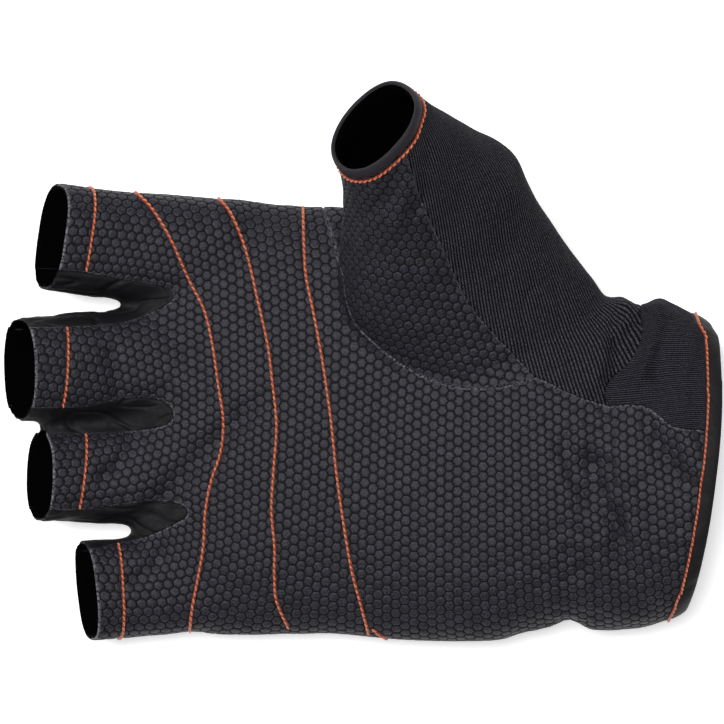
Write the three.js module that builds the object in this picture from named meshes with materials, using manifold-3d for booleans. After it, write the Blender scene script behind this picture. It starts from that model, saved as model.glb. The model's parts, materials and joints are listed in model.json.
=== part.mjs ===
// A fingerless fishing glove for the right hand, lying on its back with the palm up.
// It is a hollow hand shape of soft walls, sewn from panels that meet at seams:
// a palm of embossed synthetic leather, a plain back, three strips between the fingers,
// a thumb of two panels, a knitted wrist side and two bindings round the openings.
// Millimetres. +X runs from the fingers to the wrist, +Y to the thumb side, +Z up from
// the surface that the back of the glove lies on.

import * as THREE from "three";
import { mergeVertices } from "three/addons/utils/BufferGeometryUtils.js";
import Module from "manifold-3d";

const wasm = await Module();
wasm.setup();

// Driving dimensions
const WALL = 1.8; // leather or knit with its backing
const SEAM_GAP = 0.3; // between two panels along a seam
const BINDING_PROUD = 0.4; // the bindings stand out from the panels
const THUMB_BINDING = 2.4; // width of the band round the thumb's opening
const BODY_ROUNDNESS = 2.35; // 2 is an ellipse, more is boxier
const TUBE_ROUNDNESS = 2.2;
const OPENING_REACH = 6; // how far each hollow runs out past its opening

// The elastic gather round the wrist
const GATHER = { count: 17, ripple: 0.5, dent: 1.5, dentWidth: 3.2, rippleWidth: 8 };

// The body from the finger ends to the wrist: edges seen from above, depth, the height of
// its middle, and how many rings the loft gets before the next row
const BODY = [
  { x: -55.4, top: 30.2, bottom: -57.4, depth: 8.0, middle: 15.0, rings: 1 },
  { x: -53.2, top: 33.6, bottom: -60.4, depth: 14.0, middle: 14.7, rings: 1 },
  { x: -49.0, top: 36.0, bottom: -62.6, depth: 19.6, middle: 14.1, rings: 1 },
  { x: -43.4, top: 37.8, bottom: -64.2, depth: 23.8, middle: 13.4, rings: 1 },
  { x: -36.4, top: 38.6, bottom: -65.2, depth: 26.6, middle: 12.9, rings: 1 },
  { x: -27.4, top: 38.3, bottom: -65.5, depth: 28.4, middle: 13.2, rings: 1 },
  { x: -15.4, top: 37.0, bottom: -65.3, depth: 29.6, middle: 13.8, rings: 1 },
  { x: -4.6, top: 36.6, bottom: -65.3, depth: 30.4, middle: 14.2, rings: 1 },
  { x: 8.6, top: 33.0, bottom: -66.2, depth: 31.6, middle: 14.8, rings: 1 },
  { x: 20.6, top: 27.8, bottom: -66.7, depth: 33.2, middle: 15.6, rings: 1 },
  { x: 32.6, top: 22.3, bottom: -66.5, depth: 34.8, middle: 16.4, rings: 1 },
  { x: 42.2, top: 18.2, bottom: -64.8, depth: 36.0, middle: 17.0, rings: 2 },
  { x: 49.4, top: 16.2, bottom: -63.8, depth: 36.4, middle: 17.2, rings: 2 },
  { x: 56.6, top: 15.4, bottom: -64.0, depth: 36.8, middle: 17.4, rings: 2 },
  { x: 64.0, top: 15.4, bottom: -64.0, depth: 37.4, middle: 17.7, rings: 2 },
  { x: 69.8, top: 15.8, bottom: -62.8, depth: 38.4, middle: 18.2, rings: 1 },
  { x: 75.8, top: 13.6, bottom: -60.4, depth: 39.2, middle: 18.6, rings: 1 },
  { x: 81.0, top: 11.0, bottom: -57.4, depth: 39.6, middle: 18.8, rings: 1 },
  { x: 90.0, top: 6.2, bottom: -52.8, depth: 40.0, middle: 19.0, rings: 1 },
];

// Each sleeve runs from inside the hand to its opening. Azimuth and elevation give the way
// it points there, width lies level, and depth stands across it.
const SLEEVES = {
  index: [
    { x: -30.0, y: 25.2, z: 13.6, azimuth: 175, elevation: 3, width: 27.0, depth: 20.0 },
    { x: -56.9, y: 27.4, z: 16.2, azimuth: 173, elevation: 9, width: 26.8, depth: 20.0 },
    { x: -75.6, y: 29.8, z: 20.4, azimuth: 171.5, elevation: 15, width: 26.2, depth: 19.4 },
  ],
  middle: [
    { x: -30.0, y: 2.2, z: 13.8, azimuth: 184, elevation: 3, width: 27.0, depth: 20.4 },
    { x: -56.9, y: 0.0, z: 16.8, azimuth: 185, elevation: 11, width: 26.6, depth: 20.2 },
    { x: -82.7, y: -2.4, z: 23.4, azimuth: 185.4, elevation: 18, width: 25.6, depth: 19.6 },
  ],
  ring: [
    { x: -30.0, y: -26.2, z: 13.4, azimuth: 181, elevation: 3, width: 25.6, depth: 19.6 },
    { x: -56.9, y: -27.2, z: 15.8, azimuth: 181, elevation: 9, width: 24.8, depth: 19.0 },
    { x: -77.8, y: -27.7, z: 20.2, azimuth: 181.5, elevation: 16, width: 22.2, depth: 18.2 },
  ],
  little: [
    { x: -30.0, y: -50.6, z: 12.6, azimuth: 186, elevation: 2, width: 25.6, depth: 18.6 },
    { x: -53.8, y: -53.8, z: 14.6, azimuth: 186.6, elevation: 7, width: 24.4, depth: 18.0 },
    { x: -67.2, y: -56.0, z: 17.2, azimuth: 186.6, elevation: 11, width: 23.0, depth: 17.2 },
  ],
  thumb: [
    { x: 37.9, y: 1.0, z: 17.5, azimuth: 121, elevation: 10, width: 50.0, depth: 29.0 },
    { x: 26.9, y: 13.0, z: 20.5, azimuth: 122, elevation: 24, width: 52.6, depth: 33.0 },
    { x: 18.2, y: 25.4, z: 27.0, azimuth: 126, elevation: 34, width: 53.6, depth: 32.0 },
    { x: 15.2, y: 33.4, z: 32.4, azimuth: 129, elevation: 37, width: 51.2, depth: 30.4 },
    { x: 11.9, y: 40.1, z: 37.5, azimuth: 131.5, elevation: 40, width: 44.0, depth: 28.0 },
    { x: 6.7, y: 49.3, z: 46.5, azimuth: 134.5, elevation: 41, width: 31.5, depth: 24.4 },
    { x: 1.7, y: 55.8, z: 54.0, azimuth: 139, elevation: 40, width: 26.6, depth: 22.6 },
  ],
};

// Soft folds on the palm side: a ridge or a hollow along a line seen from above
const FOLDS = [
  { x1: -50, y1: -37, x2: -25, y2: -9.4, width: 3.4, height: -0.7 }, // from the ring crotch
  { x1: 65.5, y1: -12.7, x2: 78, y2: -29.3, width: 2.6, height: 0.7 }, // over the wrist
  { x1: 58.3, y1: -37.2, x2: 62.2, y2: -49, width: 2.6, height: 0.6 },
];

// Seam lines seen from above
const SEAMS = {
  indexMiddle: [
    [-95, 21.8], [-73.7, 21.7], [-63.4, 20.4], [-53.8, 18.7], [-47.4, 17.4],
    [-45.6, 15.6], [-47.4, 13.4], [-56.2, 9.8], [-63.4, 8.8], [-73.0, 8.4], [-95, 8.4],
  ],
  middleRing: [
    [-95, -11.4], [-80.9, -11.4], [-68.2, -11.2], [-59.8, -9.6], [-54.2, -8.8],
    [-48.2, -9.6], [-45.6, -12.4], [-48.4, -15.6], [-61.9, -16.9], [-74.9, -16.9], [-95, -16.9],
  ],
  ringLittle: [
    [-95, -35.7], [-76.3, -35.7], [-68.2, -35.7], [-58.8, -34.5], [-49.2, -33.5], [-43.9, -34.2],
    [-42.2, -36.0], [-43.6, -38.0], [-52.3, -41.9], [-59.5, -43.2], [-66.5, -44.6], [-95, -45.0],
  ],
  thumbToPalm: [
    [-11, 62], [-10.4, 41], [-8.2, 31.4], [-5.6, 22.3], [-4.3, 14.4], [-2.2, 9.0], [1.7, 4.8], [7.4, 0.2],
    [13.6, -3.4], [21.0, -5.9], [28.5, -6.4], [36.4, -5.4], [40.8, -3.8],
  ],
  thumbFrontToBack: [
    [40.8, -3.8], [32.4, 5.0], [25.0, 13.9], [19.0, 26.6], [13.9, 37.9], [9.6, 52], [5, 75],
  ],
  thumbBackToPalm: [
    [40.8, -3.8], [43.3, -4.8], [50.8, -8.4], [58.3, -10.8],
  ],
  thumbBackToWrist: [
    [58.3, -10.8], [57.6, -6.5], [59.2, -1.0], [62.0, 4.1], [64.3, 9.4], [66.2, 14.6], [69, 30],
  ],
  wristToPalm: [
    [58.3, -10.8], [62.9, -10.4], [67.2, -11.0], [70.3, -13.2], [73.0, -15.2], [77.3, -16.2],
    [95, -17],
  ],
  cuffInner: [
    [77.5, 25], [79.4, 12], [81.4, 6.0], [82.1, -3.8], [82.1, -11.8], [81.3, -20.8], [79.5, -36.6],
    [76.9, -49.0], [74.2, -56.9], [71.2, -63.4], [67, -75],
  ],
  cuffOuter: [
    [81.7, 25], [83.8, 9.5], [85.2, 4.0], [86.0, -3.4], [86.2, -9.4], [85.7, -18.8], [84.7, -28.0],
    [83.4, -35.6], [82.2, -42.4], [80.0, -51.5], [77.8, -58.0], [74.6, -64.6], [70, -77],
  ],
  gather: [
    [68.5, 30], [66.2, 14.6], [62.6, 3.8], [58.1, -9.4], [53.6, -26.2], [51.0, -44.2],
    [48.8, -64.6], [48.5, -80],
  ],
};

// Height of the seam between the palm side and the back, which follows the fingers up
const SIDE_SEAM = [
  { x: -95, z: 26.0 },
  { x: -83, z: 22.4 },
  { x: -76, z: 19.8 },
  { x: -67, z: 16.8 },
  { x: -57, z: 14.4 },
  { x: -45, z: 12.4 },
  { x: -20, z: 11.2 },
  { x: 40, z: 11.6 },
  { x: 95, z: 14.0 },
];

const degrees = THREE.MathUtils.degToRad;
const signedPower = (v, p) => Math.sign(v) * Math.abs(v) ** p;
const gauss = (v) => Math.exp(-v * v);

// A value of a table between its rows, on a smooth curve
function between(rows, key, t) {
  const last = rows.length - 1;
  const i = Math.min(last - 1, Math.max(0, Math.floor(t)));
  const at = (k) => rows[Math.min(last, Math.max(0, k))][key];
  const [p0, p1, p2, p3] = [at(i - 1), at(i), at(i + 1), at(i + 2)];
  const u = t - i;
  const slope1 = (p2 - p0) / 2;
  const slope2 = (p3 - p1) / 2;
  const rise = p2 - p1;
  return p1 + slope1 * u + (3 * rise - 2 * slope1 - slope2) * u * u
    + (slope1 + slope2 - 2 * rise) * u ** 3;
}

// The same table read by its first column, straight between rows
function lookup(rows, from, to, value) {
  const read = Array.isArray(rows[0]) ? rows.map((r) => ({ [from]: r[from], [to]: r[to] })) : rows;
  const rising = read[0][from] < read[read.length - 1][from];
  const list = rising ? read : [...read].reverse();
  let k = 1;
  while (k < list.length - 1 && list[k][from] < value) k += 1;
  const share = (value - list[k - 1][from]) / (list[k][from] - list[k - 1][from]);
  return list[k - 1][to] + share * (list[k][to] - list[k - 1][to]);
}

// How far the elastic pulls the surface in, and how its ripples stand out, at a point
function gatherAt(x, y, turn, rippled) {
  const away = x - lookup(SEAMS.gather, 1, 0, y);
  const dent = -GATHER.dent * gauss(away / GATHER.dentWidth);
  const ripple = GATHER.ripple * gauss(away / GATHER.rippleWidth) * Math.cos(turn * GATHER.count);
  return dent + (rippled ? ripple : 0);
}

// Height of the soft folds at a point of the palm side
function foldsAt(x, y) {
  let height = 0;
  for (const fold of FOLDS) {
    const along = new THREE.Vector2(fold.x2 - fold.x1, fold.y2 - fold.y1);
    const from = new THREE.Vector2(x - fold.x1, y - fold.y1);
    const share = from.dot(along) / along.lengthSq();
    const across = Math.abs(from.cross(along)) / along.length();
    const taper = gauss(Math.max(0, Math.abs(share - 0.5) - 0.35) * 4);
    height += fold.height * taper * gauss(across / fold.width);
  }
  return height;
}

// A closed loft through rings of points, each ring listed the same way round
function loft(rings) {
  const count = rings[0].length;
  const positions = rings.flat().flatMap((p) => [p.x, p.y, p.z]);
  const index = [];
  const corner = (ring, k) => ring * count + (k % count);
  for (let r = 0; r + 1 < rings.length; r += 1) {
    for (let k = 0; k < count; k += 1) {
      const [a, b, c, d] = [corner(r, k), corner(r, k + 1), corner(r + 1, k + 1), corner(r + 1, k)];
      index.push(a, b, c, a, c, d);
    }
  }
  for (let k = 1; k + 1 < count; k += 1) {
    index.push(corner(0, 0), corner(0, k + 1), corner(0, k));
    const end = rings.length - 1;
    index.push(corner(end, 0), corner(end, k), corner(end, k + 1));
  }
  const geometry = new THREE.BufferGeometry();
  geometry.setAttribute("position", new THREE.Float32BufferAttribute(positions, 3));
  geometry.setIndex(index);
  return geometry;
}

// A three.js geometry as a solid that can be cut, and back
function solid(geometry) {
  const bare = geometry.clone();
  bare.deleteAttribute("normal");
  bare.deleteAttribute("uv");
  const merged = mergeVertices(bare, 1e-4);
  const made = new wasm.Manifold(new wasm.Mesh({
    numProp: 3,
    vertProperties: new Float32Array(merged.attributes.position.array),
    triVerts: new Uint32Array(merged.index.array),
  }));
  return made;
}

function geometryOf(made) {
  const mesh = made.getMesh();
  const positions = [];
  for (let i = 0; i < mesh.numVert; i += 1) {
    positions.push(...mesh.vertProperties.subarray(i * mesh.numProp, i * mesh.numProp + 3));
  }
  const geometry = new THREE.BufferGeometry();
  geometry.setAttribute("position", new THREE.Float32BufferAttribute(positions, 3));
  geometry.setIndex(new THREE.BufferAttribute(mesh.triVerts, 1));
  geometry.computeVertexNormals();
  return geometry;
}

// Rings of the body, taken in by inset from its outer face
function bodyRings(around, inset, outer) {
  const rings = [];
  const last = BODY.length - 1;
  const steps = BODY.slice(0, last).flatMap(({ rings: count }, row) => (
    Array.from({ length: count }, (_, k) => row + k / count)));
  for (const t of [...steps, last]) {
    const x = between(BODY, "x", t) + (t === 0 ? inset : 0);
    const top = between(BODY, "top", t);
    const bottom = between(BODY, "bottom", t);
    const wide = (top - bottom) / 2 - inset;
    const deep = between(BODY, "depth", t) / 2 - inset;
    const ring = [];
    for (let k = 0; k < around; k += 1) {
      const turn = (2 * Math.PI * k) / around;
      const y = (top + bottom) / 2 + wide * signedPower(Math.cos(turn), 2 / BODY_ROUNDNESS);
      const z = between(BODY, "middle", t) + deep * signedPower(Math.sin(turn), 2 / BODY_ROUNDNESS);
      const pull = gatherAt(x, y, turn, outer);
      const fold = outer && Math.sin(turn) > 0 ? foldsAt(x, y) * Math.sin(turn) : 0;
      ring.push(new THREE.Vector3(
        x,
        y + pull * Math.cos(turn),
        z + pull * Math.sin(turn) + fold,
      ));
    }
    rings.push(ring);
  }
  return rings;
}

// Rings of a sleeve, whose last ring moves out along its way by reach
function sleeveRings(rows, around, perRow, inset, reach) {
  const rings = [];
  const last = (rows.length - 1) * perRow;
  for (let step = 0; step <= last; step += 1) {
    const t = step / perRow;
    const azimuth = degrees(between(rows, "azimuth", t));
    const elevation = degrees(between(rows, "elevation", t));
    const way = new THREE.Vector3(
      Math.cos(elevation) * Math.cos(azimuth),
      Math.cos(elevation) * Math.sin(azimuth),
      Math.sin(elevation),
    );
    const across = new THREE.Vector3(-Math.sin(azimuth), Math.cos(azimuth), 0);
    const up = new THREE.Vector3().crossVectors(way, across);
    const half = between(rows, "width", t) / 2 - inset;
    const deep = between(rows, "depth", t) / 2 - inset;
    const centre = new THREE.Vector3(
      between(rows, "x", t),
      between(rows, "y", t),
      between(rows, "z", t),
    );
    const ring = (offset) => Array.from({ length: around }, (_, k) => {
      const turn = (2 * Math.PI * k) / around;
      return centre.clone()
        .addScaledVector(across, half * signedPower(Math.cos(turn), 2 / TUBE_ROUNDNESS))
        .addScaledVector(up, deep * signedPower(Math.sin(turn), 2 / TUBE_ROUNDNESS))
        .addScaledVector(way, offset);
    });
    rings.push(ring(0));
    if (step === last && reach > 0) rings.push(ring(reach));
  }
  return rings;
}

// The whole hand shape: body and sleeves in one, taken in by inset
function handShape({ inset, around, tubeAround, perRow, reach, outer }) {
  let shape = solid(loft(bodyRings(around, inset, outer)));
  for (const rows of Object.values(SLEEVES)) {
    const thumb = rows === SLEEVES.thumb;
    const rings = sleeveRings(
      rows,
      thumb ? Math.round(tubeAround * 1.5) : tubeAround,
      thumb ? perRow : perRow + 1,
      inset,
      reach,
    );
    shape = shape.add(solid(loft(rings)));
  }
  return shape;
}

// A prism over an outline seen from above
function prism(outline, low = -10, high = 110) {
  const shape = new THREE.Shape(outline.map(([x, y]) => new THREE.Vector2(x, y)));
  const made = new THREE.ExtrudeGeometry(shape, { depth: high - low, bevelEnabled: false });
  made.translate(0, 0, low);
  return solid(made);
}

// Everything above the side seam, moved up by lift
function aboveSideSeam(lift) {
  const line = SIDE_SEAM.map(({ x, z }) => new THREE.Vector2(x, z + lift));
  const shape = new THREE.Shape([...line, new THREE.Vector2(95, 110), new THREE.Vector2(-95, 110)]);
  const made = new THREE.ExtrudeGeometry(shape, { depth: 200, bevelEnabled: false });
  made.rotateX(Math.PI / 2);
  made.translate(0, 100, 0);
  return solid(made);
}

// A smooth line through the points of a seam
function smooth(points, count = Math.round(points.length * 1.5)) {
  const curve = new THREE.SplineCurve(points.map(([x, y]) => new THREE.Vector2(x, y)));
  return curve.getPoints(count).map((p) => [p.x, p.y]);
}

const reversed = (line) => [...line].reverse();

// An outline moved in by distance, for the gap along its seams
function shrunk(outline, distance) {
  const points = outline.map(([x, y]) => new THREE.Vector2(x, y));
  if (THREE.ShapeUtils.area(points) < 0) points.reverse();
  const count = points.length;
  return points.map((p, k) => {
    const before = points[(k + count - 1) % count];
    const after = points[(k + 1) % count];
    const inwards = [p.clone().sub(before), after.clone().sub(p)]
      .map((edge) => new THREE.Vector2(-edge.y, edge.x).normalize());
    const middle = inwards[0].clone().add(inwards[1]).normalize();
    const stretch = Math.max(0.5, middle.dot(inwards[0]));
    return [p.x + (middle.x * distance) / stretch, p.y + (middle.y * distance) / stretch];
  });
}

// Drops points that a seam and its neighbour share
function outlineOf(...lines) {
  const all = lines.flat();
  return all.filter(([x, y], k) => {
    const [px, py] = all[(k + all.length - 1) % all.length];
    return Math.hypot(x - px, y - py) > 1e-3;
  });
}

const line = Object.fromEntries(Object.entries(SEAMS).map(([name, points]) => [name, smooth(points)]));

const outlines = {
  indexMiddle: outlineOf(line.indexMiddle),
  middleRing: outlineOf(line.middleRing),
  ringLittle: outlineOf(line.ringLittle),
  thumbPalm: outlineOf(line.thumbToPalm, line.thumbFrontToBack, [[-11, 75]]),
  thumbBack: outlineOf(
    reversed(line.thumbFrontToBack),
    line.thumbBackToPalm,
    line.thumbBackToWrist,
    [[69, 75]],
  ),
  wristSide: outlineOf(reversed(line.thumbBackToWrist), line.wristToPalm, [[95, 30]]),
  beforeCuff: outlineOf([[67, -90]], reversed(line.cuffInner), [[77, 90], [-95, 90], [-95, -90]]),
  upToCuffEdge: outlineOf([[69, -90]], reversed(line.cuffOuter), [[81, 90], [-95, 90], [-95, -90]]),
};
outlines.palm = outlineOf(
  reversed(line.ringLittle),
  reversed(line.middleRing),
  reversed(line.indexMiddle),
  [[-95, 62]],
  line.thumbToPalm,
  line.thumbBackToPalm,
  line.wristToPalm,
  [[95, -80], [-95, -80]],
);

const half = SEAM_GAP / 2;
const inside = Object.fromEntries(
  Object.entries(outlines).map(([name, outline]) => [name, prism(shrunk(outline, half))]),
);
const above = aboveSideSeam(half);
const below = aboveSideSeam(-half);

// The round back is pressed flat where it lies
const roomAbove = (z) => {
  const box = new THREE.BoxGeometry(240, 200, 150);
  box.translate(0, 0, 75 + z);
  return solid(box);
};

const full = { around: 52, tubeAround: 20, perRow: 1, outer: true };
const coarse = { around: 28, tubeAround: 16, perRow: 1, outer: false };
const outside = handShape({ ...full, inset: 0, reach: 0 }).intersect(roomAbove(0));
const hollow = handShape({ ...coarse, inset: WALL, reach: OPENING_REACH })
  .intersect(roomAbove(WALL));
const wall = outside.subtract(hollow);

// A slab across a sleeve near its opening, from start to end along its way
function openingSlab(rows, start, end) {
  const tip = rows[rows.length - 1];
  const box = new THREE.BoxGeometry(end - start, 60, 60);
  box.translate((start + end) / 2, 0, 0);
  box.rotateY(-degrees(tip.elevation));
  box.rotateZ(degrees(tip.azimuth));
  box.translate(tip.x, tip.y, tip.z);
  return solid(box);
}

// A band round an opening, a little proud of the panel that it binds
function band(region, proud) {
  const outer = handShape({ ...full, around: 40, inset: -proud, reach: 2 });
  return outer.intersect(roomAbove(0)).subtract(hollow).intersect(region);
}

const thumbBand = openingSlab(SLEEVES.thumb, -THUMB_BINDING, 0);
const thumbPanelEnd = openingSlab(SLEEVES.thumb, -THUMB_BINDING - SEAM_GAP, 12);
const cuffBand = inside.upToCuffEdge.subtract(prism(shrunk(outlines.beforeCuff, -half)));

const sewn = wall.intersect(inside.beforeCuff).subtract(thumbPanelEnd);
const palmSide = sewn.intersect(above);
const strips = ["indexMiddle", "middleRing", "ringLittle"].map((name) => prism(shrunk(outlines[name], -half)));

const panels = {
  palm_panel: palmSide.intersect(inside.palm),
  back_panel: strips.reduce((rest, strip) => rest.subtract(strip), sewn.subtract(below)),
  index_middle_gusset: sewn.intersect(inside.indexMiddle),
  middle_ring_gusset: sewn.intersect(inside.middleRing),
  ring_little_gusset: sewn.intersect(inside.ringLittle),
  thumb_palm_panel: palmSide.intersect(inside.thumbPalm),
  thumb_back_panel: palmSide.intersect(inside.thumbBack),
  wrist_side_panel: palmSide.intersect(inside.wristSide),
  thumb_binding: band(thumbBand, BINDING_PROUD),
  cuff_binding: band(cuffBand, BINDING_PROUD),
};

const leather = { color: 0x2b2b31, roughness: 0.5, metalness: 0 };
const knit = { color: 0x1f1f22, roughness: 0.85, metalness: 0 };
const trim = { color: 0x2a2728, roughness: 0.45, metalness: 0 };
const FINISH = {
  palm_panel: leather,
  back_panel: knit,
  index_middle_gusset: leather,
  middle_ring_gusset: leather,
  ring_little_gusset: leather,
  thumb_palm_panel: leather,
  thumb_back_panel: knit,
  wrist_side_panel: knit,
  thumb_binding: trim,
  cuff_binding: trim,
};

const glove = new THREE.Group();
for (const [name, made] of Object.entries(panels)) {
  const mesh = new THREE.Mesh(geometryOf(made), new THREE.MeshStandardMaterial(FINISH[name]));
  mesh.name = name;
  glove.add(mesh);
}

export default glove;
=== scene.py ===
import json
import math

import bmesh
import bpy
import numpy as np
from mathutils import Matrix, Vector, noise
from mathutils.bvhtree import BVHTree
from mathutils.geometry import delaunay_2d_cdt
from mathutils.kdtree import KDTree

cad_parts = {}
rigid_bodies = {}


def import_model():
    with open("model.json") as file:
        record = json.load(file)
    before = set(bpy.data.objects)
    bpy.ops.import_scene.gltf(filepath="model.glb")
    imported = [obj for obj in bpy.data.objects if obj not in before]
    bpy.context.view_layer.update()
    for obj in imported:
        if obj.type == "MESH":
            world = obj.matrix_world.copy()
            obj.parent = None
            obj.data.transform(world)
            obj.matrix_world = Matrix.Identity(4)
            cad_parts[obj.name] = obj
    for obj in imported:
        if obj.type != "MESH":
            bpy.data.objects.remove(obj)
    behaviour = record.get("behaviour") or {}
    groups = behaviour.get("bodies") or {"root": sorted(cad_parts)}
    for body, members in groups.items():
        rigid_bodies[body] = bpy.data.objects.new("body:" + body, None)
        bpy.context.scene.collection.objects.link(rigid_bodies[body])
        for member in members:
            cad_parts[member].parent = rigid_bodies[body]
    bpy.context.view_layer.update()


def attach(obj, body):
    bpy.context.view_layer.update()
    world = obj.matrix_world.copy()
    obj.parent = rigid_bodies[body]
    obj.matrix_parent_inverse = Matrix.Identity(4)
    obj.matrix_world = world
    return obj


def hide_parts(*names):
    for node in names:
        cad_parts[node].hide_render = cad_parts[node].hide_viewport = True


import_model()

# The shape that the glove fills
# A fishing glove for the right hand, without finger ends, lying on its back and filled out
# as if on a hand: a flattened body, four finger sleeves and a thumb sleeve that rises towards
# the viewer. Every panel is cut from this one skin, so the panels meet along their seams.
# Sizes here are millimetres, as a pattern cutter gives them.


def table(names, *rows):
    """A short table of numbers with named columns."""
    return np.array(list(rows), dtype=[(name, float) for name in names.split()])


BODY = table(
    "x top bottom depth middle",
    (-55.4, 30.2, -57.4, 8.0, 15.0),
    (-53.2, 33.6, -60.4, 14.0, 14.7),
    (-49.0, 36.0, -62.6, 19.6, 14.1),
    (-43.4, 37.3, -64.2, 23.8, 13.4),
    (-36.4, 38.2, -65.2, 26.6, 12.9),
    (-27.4, 38.3, -65.5, 28.4, 13.2),
    (-15.4, 37.0, -65.5, 29.6, 13.8),
    (-4.6, 36.6, -65.7, 30.4, 14.2),
    (8.6, 33.0, -66.8, 31.6, 14.8),
    (20.6, 27.8, -67.2, 33.2, 15.6),
    (32.0, 22.6, -66.8, 34.8, 16.4),
    (37.6, 20.0, -65.2, 35.4, 16.7),
    (42.6, 18.1, -64.2, 36.0, 17.0),
    (49.4, 16.2, -63.4, 36.4, 17.2),
    (56.6, 15.4, -64.3, 36.8, 17.4),
    (64.0, 15.4, -64.0, 37.4, 17.7),
    (69.8, 15.5, -62.8, 38.4, 18.2),
    (75.8, 12.8, -60.4, 39.2, 18.6),
    (81.0, 9.9, -57.4, 39.6, 18.8),
    (90.0, 4.4, -52.8, 40.0, 19.0),
)
SLEEVE_COLUMNS = "x y z azimuth elevation width depth"
SLEEVES = {
    "index": table(
        SLEEVE_COLUMNS,
        (-30.0, 25.2, 13.6, 175, 3, 27.0, 20.0),
        (-56.9, 27.4, 16.2, 173, 9, 26.4, 20.0),
        (-75.6, 29.8, 20.4, 171.5, 15, 26.2, 19.4),
    ),
    "middle": table(
        SLEEVE_COLUMNS,
        (-30.0, 2.2, 13.8, 184, 3, 27.0, 20.4),
        (-56.9, -0.3, 16.8, 185, 11, 26.3, 20.2),
        (-83.2, -2.1, 23.5, 181, 18, 26.0, 19.6),
    ),
    "ring": table(
        SLEEVE_COLUMNS,
        (-30.0, -26.2, 13.4, 181, 3, 25.6, 19.6),
        (-56.9, -27.0, 15.8, 181, 9, 24.6, 19.0),
        (-78.4, -27.8, 20.3, 179.6, 16, 22.2, 18.2),
    ),
    "little": table(
        SLEEVE_COLUMNS,
        (-30.0, -50.6, 12.6, 186, 2, 25.6, 18.6),
        (-53.8, -53.8, 14.6, 186.6, 7, 24.4, 18.0),
        (-67.2, -55.0, 17.2, 186.2, 11, 24.8, 17.2),
    ),
    "thumb": table(
        SLEEVE_COLUMNS,
        (37.9, 1.0, 17.5, 121, 10, 50.0, 29.0),
        (26.9, 13.0, 20.5, 122, 24, 52.6, 33.0),
        (18.2, 25.4, 27.0, 126, 34, 53.7, 32.0),
        (15.4, 33.6, 32.4, 129, 37, 51.8, 30.4),
        (11.9, 40.1, 37.5, 131.5, 40, 42.8, 28.0),
        (7.1, 49.4, 46.5, 134.5, 41, 29.6, 24.4),
        (2.3, 55.9, 54.0, 139, 40, 24.8, 22.4),
    ),
}
WEBS = (  # what closes the gap at the root of two fingers
    table(
        SLEEVE_COLUMNS,
        (-40.0, -12.6, 13.5, 183, 4, 7.0, 16.0),
        (-52.0, -13.4, 15.2, 183, 8, 6.0, 13.0),
        (-60.0, -14.2, 16.6, 183, 9, 4.4, 9.0),
        (-72.6, -15.9, 19.2, 182, 14, 3.0, 7.0),
    ),
)
BODY_ROUNDNESS = 2.35  # 2 is an ellipse, more is boxier
SLEEVE_ROUNDNESS = {"index": 2.75, "middle": 2.4, "ring": 2.4, "little": 2.7, "thumb": 2.3}
WEB_ROUNDNESS = 2.4
BODY_RINGS, BODY_AROUND = 120, 160
SLEEVE_RINGS, SLEEVE_AROUND = 60, 110
PAST_OPENING = 5.0  # each sleeve is made this much too long, then trimmed at its opening
SKIN_CELL = 0.7
BLEND_ROUNDS = 14  # how far the roots of the fingers and thumb run into the body


def between(rows, places):
    """A table's rows at fractional places, with every column on a smooth curve."""
    last = len(rows) - 1
    first = np.clip(np.floor(places).astype(int), 0, last - 1)
    u = places - first
    made = np.zeros(len(places), rows.dtype)
    for name in rows.dtype.names:
        before, start, end, after = (
            rows[name][np.clip(first + step, 0, last)] for step in (-1, 0, 1, 2)
        )
        slope_in, slope_out, rise = (end - before) / 2, (after - start) / 2, end - start
        made[name] = (
            start
            + slope_in * u
            + (3 * rise - 2 * slope_in - slope_out) * u**2
            + (slope_in + slope_out - 2 * rise) * u**3
        )
    return made


def round_section(count, roundness):
    """Points of a rounded oval with half axes of 1."""
    turn = np.linspace(0, 2 * math.pi, count, endpoint=False)
    cos, sin = np.cos(turn), np.sin(turn)
    power = 2 / roundness
    return np.sign(cos) * abs(cos) ** power, np.sign(sin) * abs(sin) ** power


def unit(vectors):
    return vectors / np.maximum(np.linalg.norm(vectors, axis=-1, keepdims=True), 1e-9)


def sleeve_frame(rows):
    """The centre of each row of a sleeve, and the ways along, across and up there."""
    azimuth, elevation = np.radians(rows["azimuth"]), np.radians(rows["elevation"])
    centre = np.stack([rows["x"], rows["y"], rows["z"]], -1)
    along = np.stack(
        [np.cos(elevation) * np.cos(azimuth), np.cos(elevation) * np.sin(azimuth), np.sin(elevation)],
        -1,
    )
    across = np.stack([-np.sin(azimuth), np.cos(azimuth), 0 * azimuth], -1)
    return centre, along, across, np.cross(along, across)


def body_rings():
    rows = between(BODY, np.linspace(0, len(BODY) - 1, BODY_RINGS))
    wide, deep = round_section(BODY_AROUND, BODY_ROUNDNESS)
    rings = np.zeros((BODY_RINGS, BODY_AROUND, 3))
    rings[..., 0] = rows["x"][:, None]
    rings[..., 1] = ((rows["top"] + rows["bottom"]) / 2)[:, None] + np.outer(
        (rows["top"] - rows["bottom"]) / 2, wide
    )
    rings[..., 2] = rows["middle"][:, None] + np.outer(rows["depth"] / 2, deep)
    return rings


def sleeve_rings(rows, roundness):
    fine = between(rows, np.linspace(0, len(rows) - 1, SLEEVE_RINGS))
    centre, along, across, up = sleeve_frame(fine)
    wide, deep = round_section(SLEEVE_AROUND, roundness)
    rings = (
        centre[:, None]
        + across[:, None] * np.outer(fine["width"] / 2, wide)[..., None]
        + up[:, None] * np.outer(fine["depth"] / 2, deep)[..., None]
    )
    return np.concatenate([rings, rings[-1:] + along[-1] * PAST_OPENING])


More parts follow.
